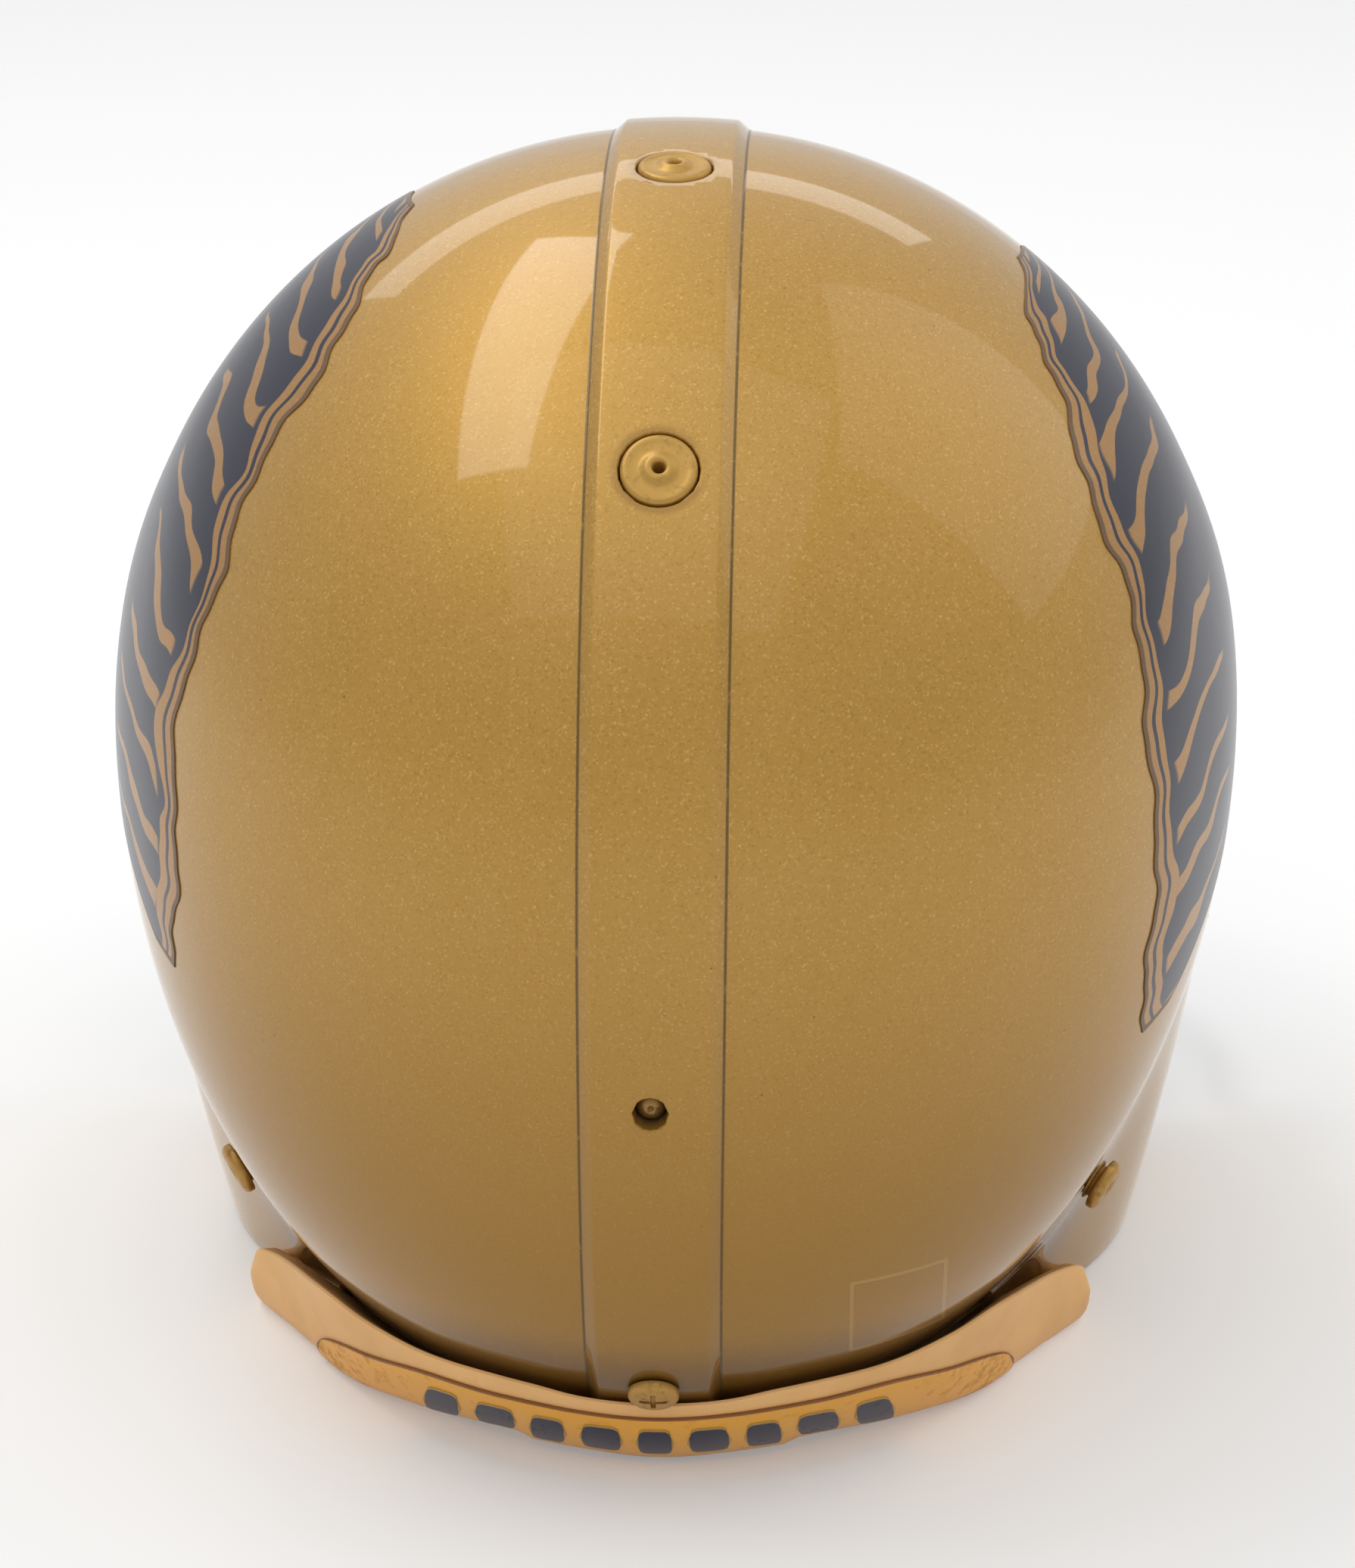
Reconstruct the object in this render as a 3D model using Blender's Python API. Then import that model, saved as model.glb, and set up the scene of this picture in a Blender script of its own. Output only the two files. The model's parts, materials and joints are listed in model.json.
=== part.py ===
"""American football helmet with its face guard, bumpers, hardware, air liner and jaw pads.

The helmet stands on its rear bumper and its jaw flaps and faces -Y. The shell is laid out in polar
rings round the width axis, which joins the widest points of its two sides. An angle of 0 degrees
points to the back, 90 degrees to the crown and 180 degrees to the front. Lengths are in metres.
"""

import math

import bmesh
import bpy
import numpy as np
from mathutils import Matrix, Vector

# Running gap between touching pieces
GAP = 0.0003
CUT_OVERRUN = 0.03
PROBE = 0.0005

# Shell: half width, height of the widest point over the floor, wall
HALF_WIDTH = 0.1145
WIDEST_HEIGHT = 0.1215
WALL = 0.004
WIDTH_POWER = 2.05
REACH_POWER = 2.06
TAPER_SHARE = 0.057
TAPER_SOFTNESS = 0.012
ROUND_SIDE = 0.060

# Reach of the shell from the width axis, in the median plane and, past the openings, of the side walls
NAPE_REACH = 0.152
LOW_BACK_REACH = 0.1475
BACK_REACH = 0.136
HIGH_BACK_REACH = 0.135
REAR_CROWN_REACH = 0.1305
CROWN_REACH = 0.1255
FRONT_CROWN_REACH = 0.122
FOREHEAD_REACH = 0.127
BROW_REACH = 0.136
TEMPLE_REACH = 0.160
CHEEK_REACH = 0.240
JAW_FRONT_REACH = 0.480
JAW_REACH = 0.430
NECK_REACH = 0.250
REACHES = (
    (-72, NAPE_REACH),
    (-45, LOW_BACK_REACH),
    (-10, BACK_REACH),
    (28, HIGH_BACK_REACH),
    (54, REAR_CROWN_REACH),
    (80, CROWN_REACH),
    (105, FRONT_CROWN_REACH),
    (132, FOREHEAD_REACH),
    (155, BROW_REACH),
    (172, TEMPLE_REACH),
    (190, CHEEK_REACH),
    (212, JAW_FRONT_REACH),
    (240, JAW_REACH),
    (265, NECK_REACH),
)

# Raised centre ridge
RIDGE_HALF_WIDTH = 0.0135
RIDGE_STEP = 0.0022
RIDGE_MARGIN = 0.0008
RIDGE_LIFT = 0.0018

# Rim of the shell seen from the side: how far behind the widest point, as a share of the half width,
# and how far over it as a share of the half width, or under it as a share of its height.
RIM_SHARES = (
    (1.25, -0.967),
    (0.82, -0.966),
    (0.60, -0.955),
    (0.40, -0.942),
    (0.22, -0.956),
    (0.04, -1),
    (-0.20, -1),
    (-0.44, -1),
    (-0.63, -0.938),
    (-0.755, -0.792),
    (-0.79, -0.584),
    (-0.785, -0.396),
    (-0.71, -0.236),
    (-0.60, -0.1225),
    (-0.545, 0.00),
    (-0.555, 0.15),
    (-0.64, 0.29),
    (-0.78, 0.38),
    (-0.95, 0.425),
    (-1.12, 0.445),
    (-1.40, 0.45),
)
RIM_STEPS = 3

# Ear hole
EAR_BACK = -0.004
EAR_HEIGHT = -0.026
EAR_RADIUS = 0.015

# Grid of the shell
RING_COUNT = 58
SIDE_COLUMNS = 10
CROWN_SHARE = 0.7

# Air valves in the ridge
CROWN_VALVE_ANGLE = 75.3
REAR_VALVE_ANGLE = 38.8
VALVE_RADIUS = 0.0072
VALVE_PROUD = 0.0004
VALVE_BOSS_RADIUS = 0.0030
VALVE_BOSS_RISE = 0.0009
NEEDLE_RADIUS = 0.0013
FLANGE_GAP = 0.0006
VALVE_FLANGE_RADIUS = 0.0100
FLANGE_THICKNESS = 0.0012

# Rivet at the bottom of the hole low on the ridge
RIVET_ANGLE = -12.2
RIVET_HOLE_RADIUS = 0.0033
RIVET_HEAD_RADIUS = 0.0028
RIVET_HEAD_HEIGHT = 0.0014
RIVET_DEPTH = 0.0042
RIVET_FLANGE_RADIUS = 0.0060

# Screws, their nuts and the studs of the chin strap
SHANK_RADIUS = 0.0024
SHANK_CLEARANCE = 0.0003
SCREW_HEAD_RADIUS = 0.0050
SCREW_HEAD_HEIGHT = 0.0026
RECESS_ARM = 0.0028
RECESS_WIDTH = 0.0011
RECESS_DEPTH = 0.0012
NUT_RADIUS = 0.0055
NUT_THICKNESS = 0.0012
NUT_GAP = 0.0004
DROP_PROBES = 8
PAD_STUD_RADIUS = 0.0040
PAD_STUD_HEIGHT = 0.0035
STRAP_STUD_RADIUS = 0.0055
STRAP_STUD_NECK = 0.0032
STRAP_STUD_HEIGHT = 0.0046
STRAP_STUD_RIM = 0.0016
REAR_SCREW_RISE = 0.0350
UPPER_STUD_BACK = -0.040
UPPER_STUD_HEIGHT = 0.012
LOWER_STUD_BACK = 0.032
LOWER_STUD_HEIGHT = -0.716 * WIDEST_HEIGHT

# Rear bumper: it hooks round the rim and rests on the floor. A tab inside takes the screw.
BUMPER_HALF_SPAN = 0.067
BUMPER_RISE = 0.0205
BUMPER_THICKNESS = 0.0068
BUMPER_END_SWELL = 0.0035
BUMPER_PROW_HALF_SPAN = 0.031
BUMPER_PROW = 0.0010
HOOK_CLEARANCE = 0.0007
BUMPER_INNER_WALL = 0.0026
BUMPER_INNER_RISE = 0.0100
TAB_HALF_WIDTH = 0.0085
TAB_SHOULDER = 0.0120
TAB_RISE = 0.0425
TAB_NUT_GAP = 0.0007
BUMPER_STATIONS = 20

# Front bumper on the brow edge
BROW_BUMPER_HALF_SPAN = 0.030
BROW_BUMPER_RISE = 0.0170
BROW_BUMPER_THICKNESS = 0.0042
BROW_BUMPER_LIP = 0.0028
BROW_BUMPER_INNER_WALL = 0.0022
BROW_BUMPER_TURN = 0.0006
BROW_BUMPER_STATIONS = 12
BROW_SCREW_ACROSS = 0.018
BROW_SCREW_RISE = 0.0115

# Face guard: coated wire bars
BAR_RADIUS = 0.0031
GUARD_REACH = 0.178
CHIN_REACH = 0.172
MOUTH_BAR_HEIGHT = -0.296 * WIDEST_HEIGHT
CHIN_BAR_HEIGHT = -0.775 * WIDEST_HEIGHT
CHIN_BEND_STEPS = 3
HOOP_POWER = 2.5
HOOP_STEPS = 15
UPRIGHT_CLEAR = 0.0015
UPRIGHT_TOP = 0.0330
STRAIGHT_SHARE = 1.3
BROW_BAR_RISE = 0.0185
BROW_BAR_OUT = 0.0084
BROW_LEG_BACK = -0.121
BROW_LEG_SHARES = (
    (0.624, -0.828, 0.563),
    (0.655, -0.826, 0.520),
    (0.677, -0.852, 0.463),
    (0.712, -0.904, 0.389),
    (0.77, -0.965, 0.29),
    (0.90, -1.02, 0.04),
    (0.965, -1.045, -0.17),
)
CENTRE_POST_ACROSS = 0.027
SIDE_POST_ACROSS = 0.074
BAR_STEPS = 2

# Clips that strap the guard to the shell
STRAP_THICKNESS = 0.0022
STRAP_TAIL = 0.0085
SIDE_CLIP_WIDTH = 0.022
SIDE_CLIP_BACK = -0.076
SIDE_CLIP_HEIGHT = -0.543 * WIDEST_HEIGHT
BROW_CLIP_WIDTH = 0.016
BROW_CLIP_ACROSS = 0.047
CLIP_REACH = 0.0175
LOOP_TURN = 135
LOOP_STEPS = 9

# Liner
PAD_CLEARANCE = 0.0006
POCKET_CLEARANCE = 0.0010
LINER_THICKNESS = 0.025
FRONT_PAD_THICKNESS = 0.023
NECK_PAD_THICKNESS = 0.013
JAW_PAD_THICKNESS = 0.020
JAW_PAD_CLEARANCE = 0.0032
SOCKET_CLEARANCE = 0.0008
PAD_CROWN = 0.0025
PAD_POWER = 4
PAD_STEPS = 26
CROWN_HALF_SPAN = 0.060
BACK_HALF_SPAN = 0.076
FRONT_HALF_SPAN = 0.064
NECK_ACROSS = 0.037
NECK_HALF_SPAN = 0.023
NECK_LOW_RISE = 0.0245
NECK_HIGH_RISE = 0.0677
BACK_LOW_RISE = 0.0829
SIDE_PAD_BACK = -0.001
SIDE_PAD_HEIGHT = 0.032
SIDE_PAD_HALF_LENGTH = 0.047
SIDE_PAD_HALF_HEIGHT = 0.038
JAW_PAD_BACK = -0.0175
JAW_PAD_HEIGHT = -0.675 * WIDEST_HEIGHT
JAW_PAD_HALF_LENGTH = 0.0585
JAW_PAD_HALF_HEIGHT = 0.029
JAW_PAD_TILT = 0.007

COLOURS = {
    "gold": ((0.42, 0.26, 0.075), 0.28, 0.75),
    "gold_hardware": ((0.33, 0.20, 0.07), 0.35, 0.8),
    "valve_gold": ((0.38, 0.24, 0.075), 0.45, 0.3),
    "tan_rubber": ((0.62, 0.36, 0.16), 0.6, 0.0),
    "guard_coat": ((0.012, 0.014, 0.03), 0.35, 0.0),
    "clear_strap": ((0.62, 0.45, 0.24), 0.3, 0.0),
    "steel": ((0.55, 0.55, 0.54), 0.35, 1.0),
    "liner_vinyl": ((0.05, 0.05, 0.055), 0.5, 0.0),
    "jaw_vinyl": ((0.60, 0.59, 0.56), 0.5, 0.0),
}


def clear_scene():
    """Removes whatever the file holds."""
    for thing in list(bpy.data.objects):
        bpy.data.objects.remove(thing, do_unlink=True)


def material(name):
    """The plain material of this name, made on first use."""
    found = bpy.data.materials.get(name)
    if found:
        return found
    colour, roughness, metallic = COLOURS[name]
    made = bpy.data.materials.new(name)
    made.use_nodes = True
    shader = made.node_tree.nodes["Principled BSDF"]
    shader.inputs["Base Color"].default_value = (*colour, 1)
    shader.inputs["Roughness"].default_value = roughness
    shader.inputs["Metallic"].default_value = metallic
    made.diffuse_color = (*colour, 1)
    return made


def smooth_step(share):
    """0 below 0, 1 above 1, and a smooth rise between."""
    held = min(max(share, 0), 1)
    return held * held * (3 - 2 * held)


class ClosedSpline:
    """A smooth closed curve of values over the full turn."""

    def __init__(self, knots, values):
        self.knots = list(knots) + [knots[0] + 360]
        self.values = list(values) + [values[0]]
        count = len(knots)
        gaps = np.diff(self.knots)
        matrix = np.zeros((count, count))
        right = np.zeros(count)
        for i in range(count):
            before, after = gaps[i - 1], gaps[i]
            matrix[i, i - 1] += before
            matrix[i, i] += 2 * (before + after)
            matrix[i, (i + 1) % count] += after
            rise = (self.values[i + 1] - self.values[i]) / after
            fall = (self.values[i] - self.values[i - 1 if i else count - 1]) / before
            right[i] = 6 * (rise - fall)
        bends = np.linalg.solve(matrix, right)
        self.bends = list(bends) + [bends[0]]

    def at(self, angle):
        """The value at this angle in degrees."""
        angle = (angle - self.knots[0]) % 360 + self.knots[0]
        i = max(k for k in range(len(self.knots) - 1) if self.knots[k] <= angle)
        gap = self.knots[i + 1] - self.knots[i]
        ahead = (angle - self.knots[i]) / gap
        back = 1 - ahead
        bend = (ahead**3 - ahead) * self.bends[i + 1] + (back**3 - back) * self.bends[i]
        return ahead * self.values[i + 1] + back * self.values[i] + bend * gap * gap / 6


NEARNESS = ClosedSpline([angle for angle, _ in REACHES], [1 / reach for _, reach in REACHES])
MEAN_NEARNESS = sum((1 / reach) ** REACH_POWER for _, reach in REACHES) / len(REACHES)


def tightness(angle, radius):
    """How fast the side wall turns in, blended to one round dome about the widest point."""
    here = NEARNESS.at(angle) ** REACH_POWER
    return MEAN_NEARNESS + (here - MEAN_NEARNESS) * smooth_step(radius / ROUND_SIDE)


def taper(height):
    """Share of the half width that is left below the widest point."""
    below = TAPER_SOFTNESS * math.log1p(math.exp(-height / TAPER_SOFTNESS))
    return 1 - TAPER_SHARE * below / HALF_WIDTH


def skin_point(angle, share, depth=0.0, lift=0.0):
    """Point at this angle and share of the half width, on the skin at this depth in the wall.

    The point is measured from the middle of the width axis.
    """
    turn = math.radians(angle)
    room = max(1 - abs(share) ** WIDTH_POWER, 0)
    reach = 1 / NEARNESS.at(angle)
    shrink = (reach - depth) / reach
    radius = reach * room ** (1 / REACH_POWER)
    for _ in range(4):
        radius = (room / tightness(angle, radius)) ** (1 / REACH_POWER)
    radius = radius * shrink + lift
    height = radius * math.sin(turn)
    across = (HALF_WIDTH - depth) * taper(height) * share
    return Vector((across, radius * math.cos(turn), height))


def over(angle, across, depth=0.0, lift=0.0):
    """Point of the skin at this angle and this distance from the median plane."""
    share = across / HALF_WIDTH
    for _ in range(6):
        point = skin_point(angle, share, depth, lift)
        share += (across - point.x) / HALF_WIDTH
    return skin_point(angle, share, depth, lift)


def beside(back, height, side, depth=0.0):
    """Point of the side wall this far behind and above the widest point. side is 1 or -1."""
    angle = math.degrees(math.atan2(height, back))
    radius = math.hypot(back, height)
    reach = 1 / NEARNESS.at(angle)
    grown = radius * reach / (reach - depth)
    room = min(tightness(angle, grown) * grown**REACH_POWER, 1)
    share = (1 - room) ** (1 / WIDTH_POWER)
    return Vector((side * (HALF_WIDTH - depth) * taper(height) * share, back, height))


def seat_matrix(point, out, along):
    """Matrix whose Z runs out of the surface at the point and whose X follows a direction."""
    out = out.normalized()
    x = (along - along.dot(out) * out).normalized()
    y = out.cross(x)
    turned = Matrix((x, y, out)).transposed().to_4x4()
    return Matrix.Translation(point) @ turned


def seat_over(angle, across, depth=0.0, lift=0.0, along=(1, 0, 0)):
    """Seat on the crown, back or brow: Z out of the skin, X across it or as asked."""
    probe_turn = math.degrees(PROBE / CROWN_REACH)
    point = over(angle, across, depth, lift)
    ahead = over(angle + probe_turn, across, depth, lift) - over(angle - probe_turn, across, depth, lift)
    aside = over(angle, across + PROBE, depth, lift) - over(angle, across - PROBE, depth, lift)
    out = ahead.cross(aside)
    if out.dot(point) < 0:
        out.negate()
    return seat_matrix(point, out, Vector(along))


def seat_beside(back, height, side, depth=0.0, along=(0, 1, 0)):
    """Seat on a side wall: Z out of the skin."""
    point = beside(back, height, side, depth)
    aback = beside(back + PROBE, height, side, depth) - beside(back - PROBE, height, side, depth)
    upward = beside(back, height + PROBE, side, depth) - beside(back, height - PROBE, side, depth)
    out = aback.cross(upward)
    if out.x * side < 0:
        out.negate()
    return seat_matrix(point, out, Vector(along))


def inner_drop(seat, radius):
    """Depth under a seat of the inner skin, at its deepest round a ring of this radius."""
    side = math.copysign(1, seat.translation.x)
    over_crown = abs(seat.translation.x) < HALF_WIDTH * CROWN_SHARE
    back = seat.inverted()
    deepest = 0.0
    for k in range(DROP_PROBES):
        turn = 2 * math.pi * k / DROP_PROBES
        spot = seat @ Vector((radius * math.cos(turn), radius * math.sin(turn), 0))
        if over_crown:
            wall = over(math.degrees(math.atan2(spot.z, spot.y)), spot.x, WALL)
        else:
            wall = beside(spot.y, spot.z, side, WALL)
        deepest = max(deepest, -(back @ wall).z)
    return deepest


def nut_top(seat):
    """Height over a seat of the outer face of a nut inside the wall."""
    return -inner_drop(seat, NUT_RADIUS) - NUT_GAP


def flange_top(seat, radius):
    """Height over a seat of the outer face of a flange of this radius inside the wall."""
    return -inner_drop(seat, radius) - FLANGE_GAP


def add_object(name, mesh_or_curve, finish, parent):
    """Puts the data in the scene as a named piece."""
    made = bpy.data.objects.new(name, mesh_or_curve)
    bpy.context.scene.collection.objects.link(made)
    made.parent = parent
    if finish:
        mesh_or_curve.materials.append(material(finish))
    return made


def mesh_of(name, points, faces):
    """A mesh of these points and faces, with its normals outwards and round parts smooth."""
    mesh = bpy.data.meshes.new(name)
    mesh.from_pydata([tuple(point) for point in points], [], faces)
    work = bmesh.new()
    work.from_mesh(mesh)
    bmesh.ops.remove_doubles(work, verts=work.verts, dist=GAP / 100)
    bmesh.ops.recalc_face_normals(work, faces=work.faces)
    work.to_mesh(mesh)
    work.free()
    mesh.shade_smooth()
    mesh.set_sharp_from_angle(angle=math.radians(32))
    return mesh


def tube_faces(rows, columns, closed_rows=True):
    """Quads between rows of points, each row closed on itself."""
    faces = []
    for i in range(rows if closed_rows else rows - 1):
        for j in range(columns):
            a = i * columns + j
            b = i * columns + (j + 1) % columns
            c = ((i + 1) % rows) * columns + (j + 1) % columns
            d = ((i + 1) % rows) * columns + j
            faces.append((a, b, c, d))
    return faces


def turned(name, profile, seat, finish, parent, steps=20, ring=False):
    """A piece turned about its seat's Z from (radius, height) pairs that run from bottom to top.

    A ring's pairs close on themselves and never touch the axis.
    """
    points = []
    rows = []
    for radius, height in profile:
        rows.append(len(points))
        if radius == 0:
            points.append(seat @ Vector((0, 0, height)))
            continue
        for k in range(steps):
            turn = 2 * math.pi * k / steps
            points.append(seat @ Vector((radius * math.cos(turn), radius * math.sin(turn), height)))
    faces = []
    pairs = list(zip(range(len(profile)), range(1, len(profile))))
    if ring:
        pairs.append((len(profile) - 1, 0))
    for low, high in pairs:
        for k in range(steps):
            after = (k + 1) % steps
            if profile[low][0] == 0:
                faces.append((rows[low], rows[high] + after, rows[high] + k))
            elif profile[high][0] == 0:
                faces.append((rows[low] + k, rows[low] + after, rows[high]))
            else:
                faces.append((rows[low] + k, rows[low] + after, rows[high] + after, rows[high] + k))
    return add_object(name, mesh_of(name, points, faces), finish, parent)


def cutter(name, points, faces, parent):
    """A hidden solid that a Boolean takes away."""
    made = add_object(name, mesh_of(name, points, faces), None, parent)
    made.hide_render = True
    made.display_type = "WIRE"
    return made


def drill(name, radius, seat, low, high, parent, steps=20):
    """A hidden cylinder along the seat's Z from low to high."""
    made = turned(name, ((0, low), (radius, low), (radius, high), (0, high)), seat, None, parent, steps)
    made.hide_render = True
    made.display_type = "WIRE"
    return made


def cut(piece, tools):
    """Takes each tool away from the piece."""
    for tool in tools:
        modifier = piece.modifiers.new(tool.name, "BOOLEAN")
        modifier.operation = "DIFFERENCE"
        modifier.solver = "EXACT"
        modifier.object = tool


def smooth_path(points, steps, closed=False):
    """Points along a smooth curve through the given ones, with this many steps between each two.

    The direction at a point leans to its nearer neighbour, so that uneven spacing makes no kinks.
    """
    count = len(points)
    spans = count if closed else count - 1
    lengths = [(points[(i + 1) % count] - points[i]).length for i in range(spans)]
    speeds = [(points[(i + 1) % count] - points[i]) / lengths[i] for i in range(spans)]
    leans = []
    for i in range(count):
        if not closed and i in (0, count - 1):
            leans.append(speeds[min(i, spans - 1)])
            continue
        before, after = lengths[i - 1], lengths[i % spans]
        leans.append((speeds[i - 1] * after + speeds[i % spans] * before) / (before + after))
    path = []
    for i in range(spans):
        a, b = points[i], points[(i + 1) % count]
        leave, arrive = leans[i] * lengths[i], leans[(i + 1) % count] * lengths[i]
        for k in range(steps):
            t = k / steps
            bulge = leave * (t**3 - 2 * t**2 + t) + arrive * (t**3 - t**2)
            path.append(a + (b - a) * (3 * t**2 - 2 * t**3) + bulge)
    if not closed:
        path.append(points[-1])
    return path


def rim_line():
    """The rim seen from the side, as points behind and above the widest point."""
    spots = []
    for back, height in RIM_SHARES:
        spots.append(Vector((0, back * HALF_WIDTH, height * (WIDEST_HEIGHT if height < 0 else HALF_WIDTH))))
    line = smooth_path(spots, RIM_STEPS)
    return [Vector((0, spot.y, max(spot.z, -WIDEST_HEIGHT))) for spot in line]


def column_shares():
    """Shares of the half width of the grid's columns from one side to the other, and their lifts."""
    top = RIDGE_HALF_WIDTH - RIDGE_STEP
    half = [(0.0, RIDGE_LIFT), (top / 2 / HALF_WIDTH, RIDGE_LIFT), (top / HALF_WIDTH, RIDGE_LIFT)]
    half.append((RIDGE_HALF_WIDTH / HALF_WIDTH, 0.0))
    edge = math.acos(RIDGE_HALF_WIDTH / HALF_WIDTH)
    for k in range(1, SIDE_COLUMNS + 1):
        half.append((math.cos(edge * (1 - k / (SIDE_COLUMNS + 1))), 0.0))
    return [(-share, lift) for share, lift in reversed(half[1:])] + half


def skin_grid(depth, lifted):
    """Points and faces of the closed skin at this depth. The ridge shows on a lifted skin."""
    columns = column_shares()
    points = []
    for k in range(RING_COUNT):
        angle = 360 * k / RING_COUNT
        points += [skin_point(angle, share, depth, lift if lifted else 0) for share, lift in columns]
    faces = []
    for k in range(RING_COUNT):
        low = k * len(columns)
        high = (k + 1) % RING_COUNT * len(columns)
        for j in range(len(columns) - 1):
            faces.append((low + j, high + j, high + j + 1, low + j + 1))
    for side, edge in ((-1, 0), (1, len(columns) - 1)):
        pole = len(points)
        points.append(skin_point(0, side, depth))
        for k in range(RING_COUNT):
            low = k * len(columns) + edge
            high = (k + 1) % RING_COUNT * len(columns) + edge
            faces.append((pole, low, high) if side > 0 else (pole, high, low))
    return points, faces


def opening_tool(parent):
    """Hidden prism across the helmet that takes away the neck and face openings."""
    line = rim_line()
    far_front = -(JAW_FRONT_REACH + CUT_OVERRUN)
    far_down = far_front
    far_back = NECK_REACH
    outline = line + [
        Vector((0, far_front, line[-1].z)),
        Vector((0, far_front, far_down)),
        Vector((0, far_back, far_down)),
        Vector((0, far_back, line[0].z)),
    ]
    half = HALF_WIDTH + CUT_OVERRUN
    count = len(outline)
    points = [Vector((x, spot.y, spot.z)) for x in (-half, half) for spot in outline]
    faces = [(k, (k + 1) % count, (k + 1) % count + count, k + count) for k in range(count)]
    faces.append(tuple(range(count)))
    faces.append(tuple(range(count, 2 * count)))
    return cutter("opening_tool", points, faces, parent)


def build_shell(parent, seats):
    """The moulded shell with its ridge, openings, ear holes and screw holes."""
    outer_points, outer_faces = skin_grid(0, True)
    inner_points, inner_faces = skin_grid(WALL, False)
    shift = len(outer_points)
    faces = outer_faces + [tuple(shift + i for i in reversed(face)) for face in inner_faces]
    mesh = bpy.data.meshes.new("shell")
    mesh.from_pydata([tuple(point) for point in outer_points + inner_points], [], faces)
    mesh.shade_smooth()
    mesh.set_sharp_from_angle(angle=math.radians(32))
    shell = add_object("shell", mesh, "gold", parent)
    tools = [opening_tool(parent)]
    for side, word in ((-1, "right"), (1, "left")):
        seat = seat_beside(EAR_BACK, EAR_HEIGHT, side)
        tools.append(drill(f"ear_tool_{word}", EAR_RADIUS, seat, -CUT_OVERRUN, CUT_OVERRUN, parent, 28))
    for name, (seat, radius) in seats.items():
        tools.append(drill(f"{name}_tool", radius, seat, -CUT_OVERRUN / 2, CUT_OVERRUN / 2, parent, 18))
    cut(shell, tools)
    return shell


def build_valve(name, angle, parent):
    """Air valve: a disc flush in the ridge with a raised needle boss, on a flange inside the wall."""
    seat = seat_over(angle, 0, 0, RIDGE_LIFT)
    face = VALVE_PROUD
    low = flange_top(seat, VALVE_FLANGE_RADIUS)
    profile = (
        (NEEDLE_RADIUS, low - FLANGE_THICKNESS),
        (VALVE_FLANGE_RADIUS, low - FLANGE_THICKNESS),
        (VALVE_FLANGE_RADIUS, low),
        (VALVE_RADIUS, low),
        (VALVE_RADIUS, face - VALVE_PROUD),
        (VALVE_RADIUS - VALVE_PROUD, face),
        (VALVE_BOSS_RADIUS + VALVE_PROUD, face),
        (VALVE_BOSS_RADIUS, face + VALVE_BOSS_RISE),
        (NEEDLE_RADIUS, face + VALVE_BOSS_RISE),
    )
    return turned(name, profile, seat, "valve_gold", parent, 20, ring=True)


def build_rivet(parent):
    """Domed rivet at the bottom of the low hole, on a flange inside the wall."""
    seat = seat_over(RIVET_ANGLE, 0, 0, RIDGE_LIFT)
    top = -RIVET_DEPTH + RIVET_HEAD_HEIGHT
    low = flange_top(seat, RIVET_FLANGE_RADIUS)
    profile = (
        (0, low - FLANGE_THICKNESS),
        (RIVET_FLANGE_RADIUS, low - FLANGE_THICKNESS),
        (RIVET_FLANGE_RADIUS, low),
        (RIVET_HEAD_RADIUS, low),
        (RIVET_HEAD_RADIUS, -RIVET_DEPTH),
        (RIVET_HEAD_RADIUS * 0.8, top - RIVET_HEAD_HEIGHT * 0.3),
        (RIVET_HEAD_RADIUS * 0.4, top - RIVET_HEAD_HEIGHT * 0.06),
        (0, top),
    )
    return turned("back_rivet", profile, seat, "gold_hardware", parent, 16)


def build_screw(name, seat, stack, parent, finish="gold_hardware", lift=GAP):
    """Pan-head screw with a cross recess. Its head rests over the seat and its shank passes the stack."""
    head = SCREW_HEAD_HEIGHT
    profile = (
        (0, -stack),
        (SHANK_RADIUS, -stack),
        (SHANK_RADIUS, lift),
        (SCREW_HEAD_RADIUS, lift),
        (SCREW_HEAD_RADIUS * 0.94, lift + head * 0.5),
        (SCREW_HEAD_RADIUS * 0.66, lift + head),
        (0, lift + head),
    )
    screw = turned(name, profile, seat, finish, parent, 14)
    depth = lift + head - RECESS_DEPTH
    arm, side = RECESS_ARM, RECESS_WIDTH / 2
    corner = ((arm, side), (side, side), (side, arm))
    cross = list(corner)
    for _ in range(3):
        corner = tuple((-y, x) for x, y in corner)
        cross += corner
    count = len(cross)
    points = [seat @ Vector((x, y, z)) for z in (depth, depth + SCREW_HEAD_HEIGHT) for x, y in cross]
    faces = [(k, (k + 1) % count, (k + 1) % count + count, k + count) for k in range(count)]
    faces += [tuple(range(count)), tuple(range(count, 2 * count))]
    cut(screw, [cutter(f"{name}_recess_tool", points, faces, parent)])
    return screw


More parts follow.
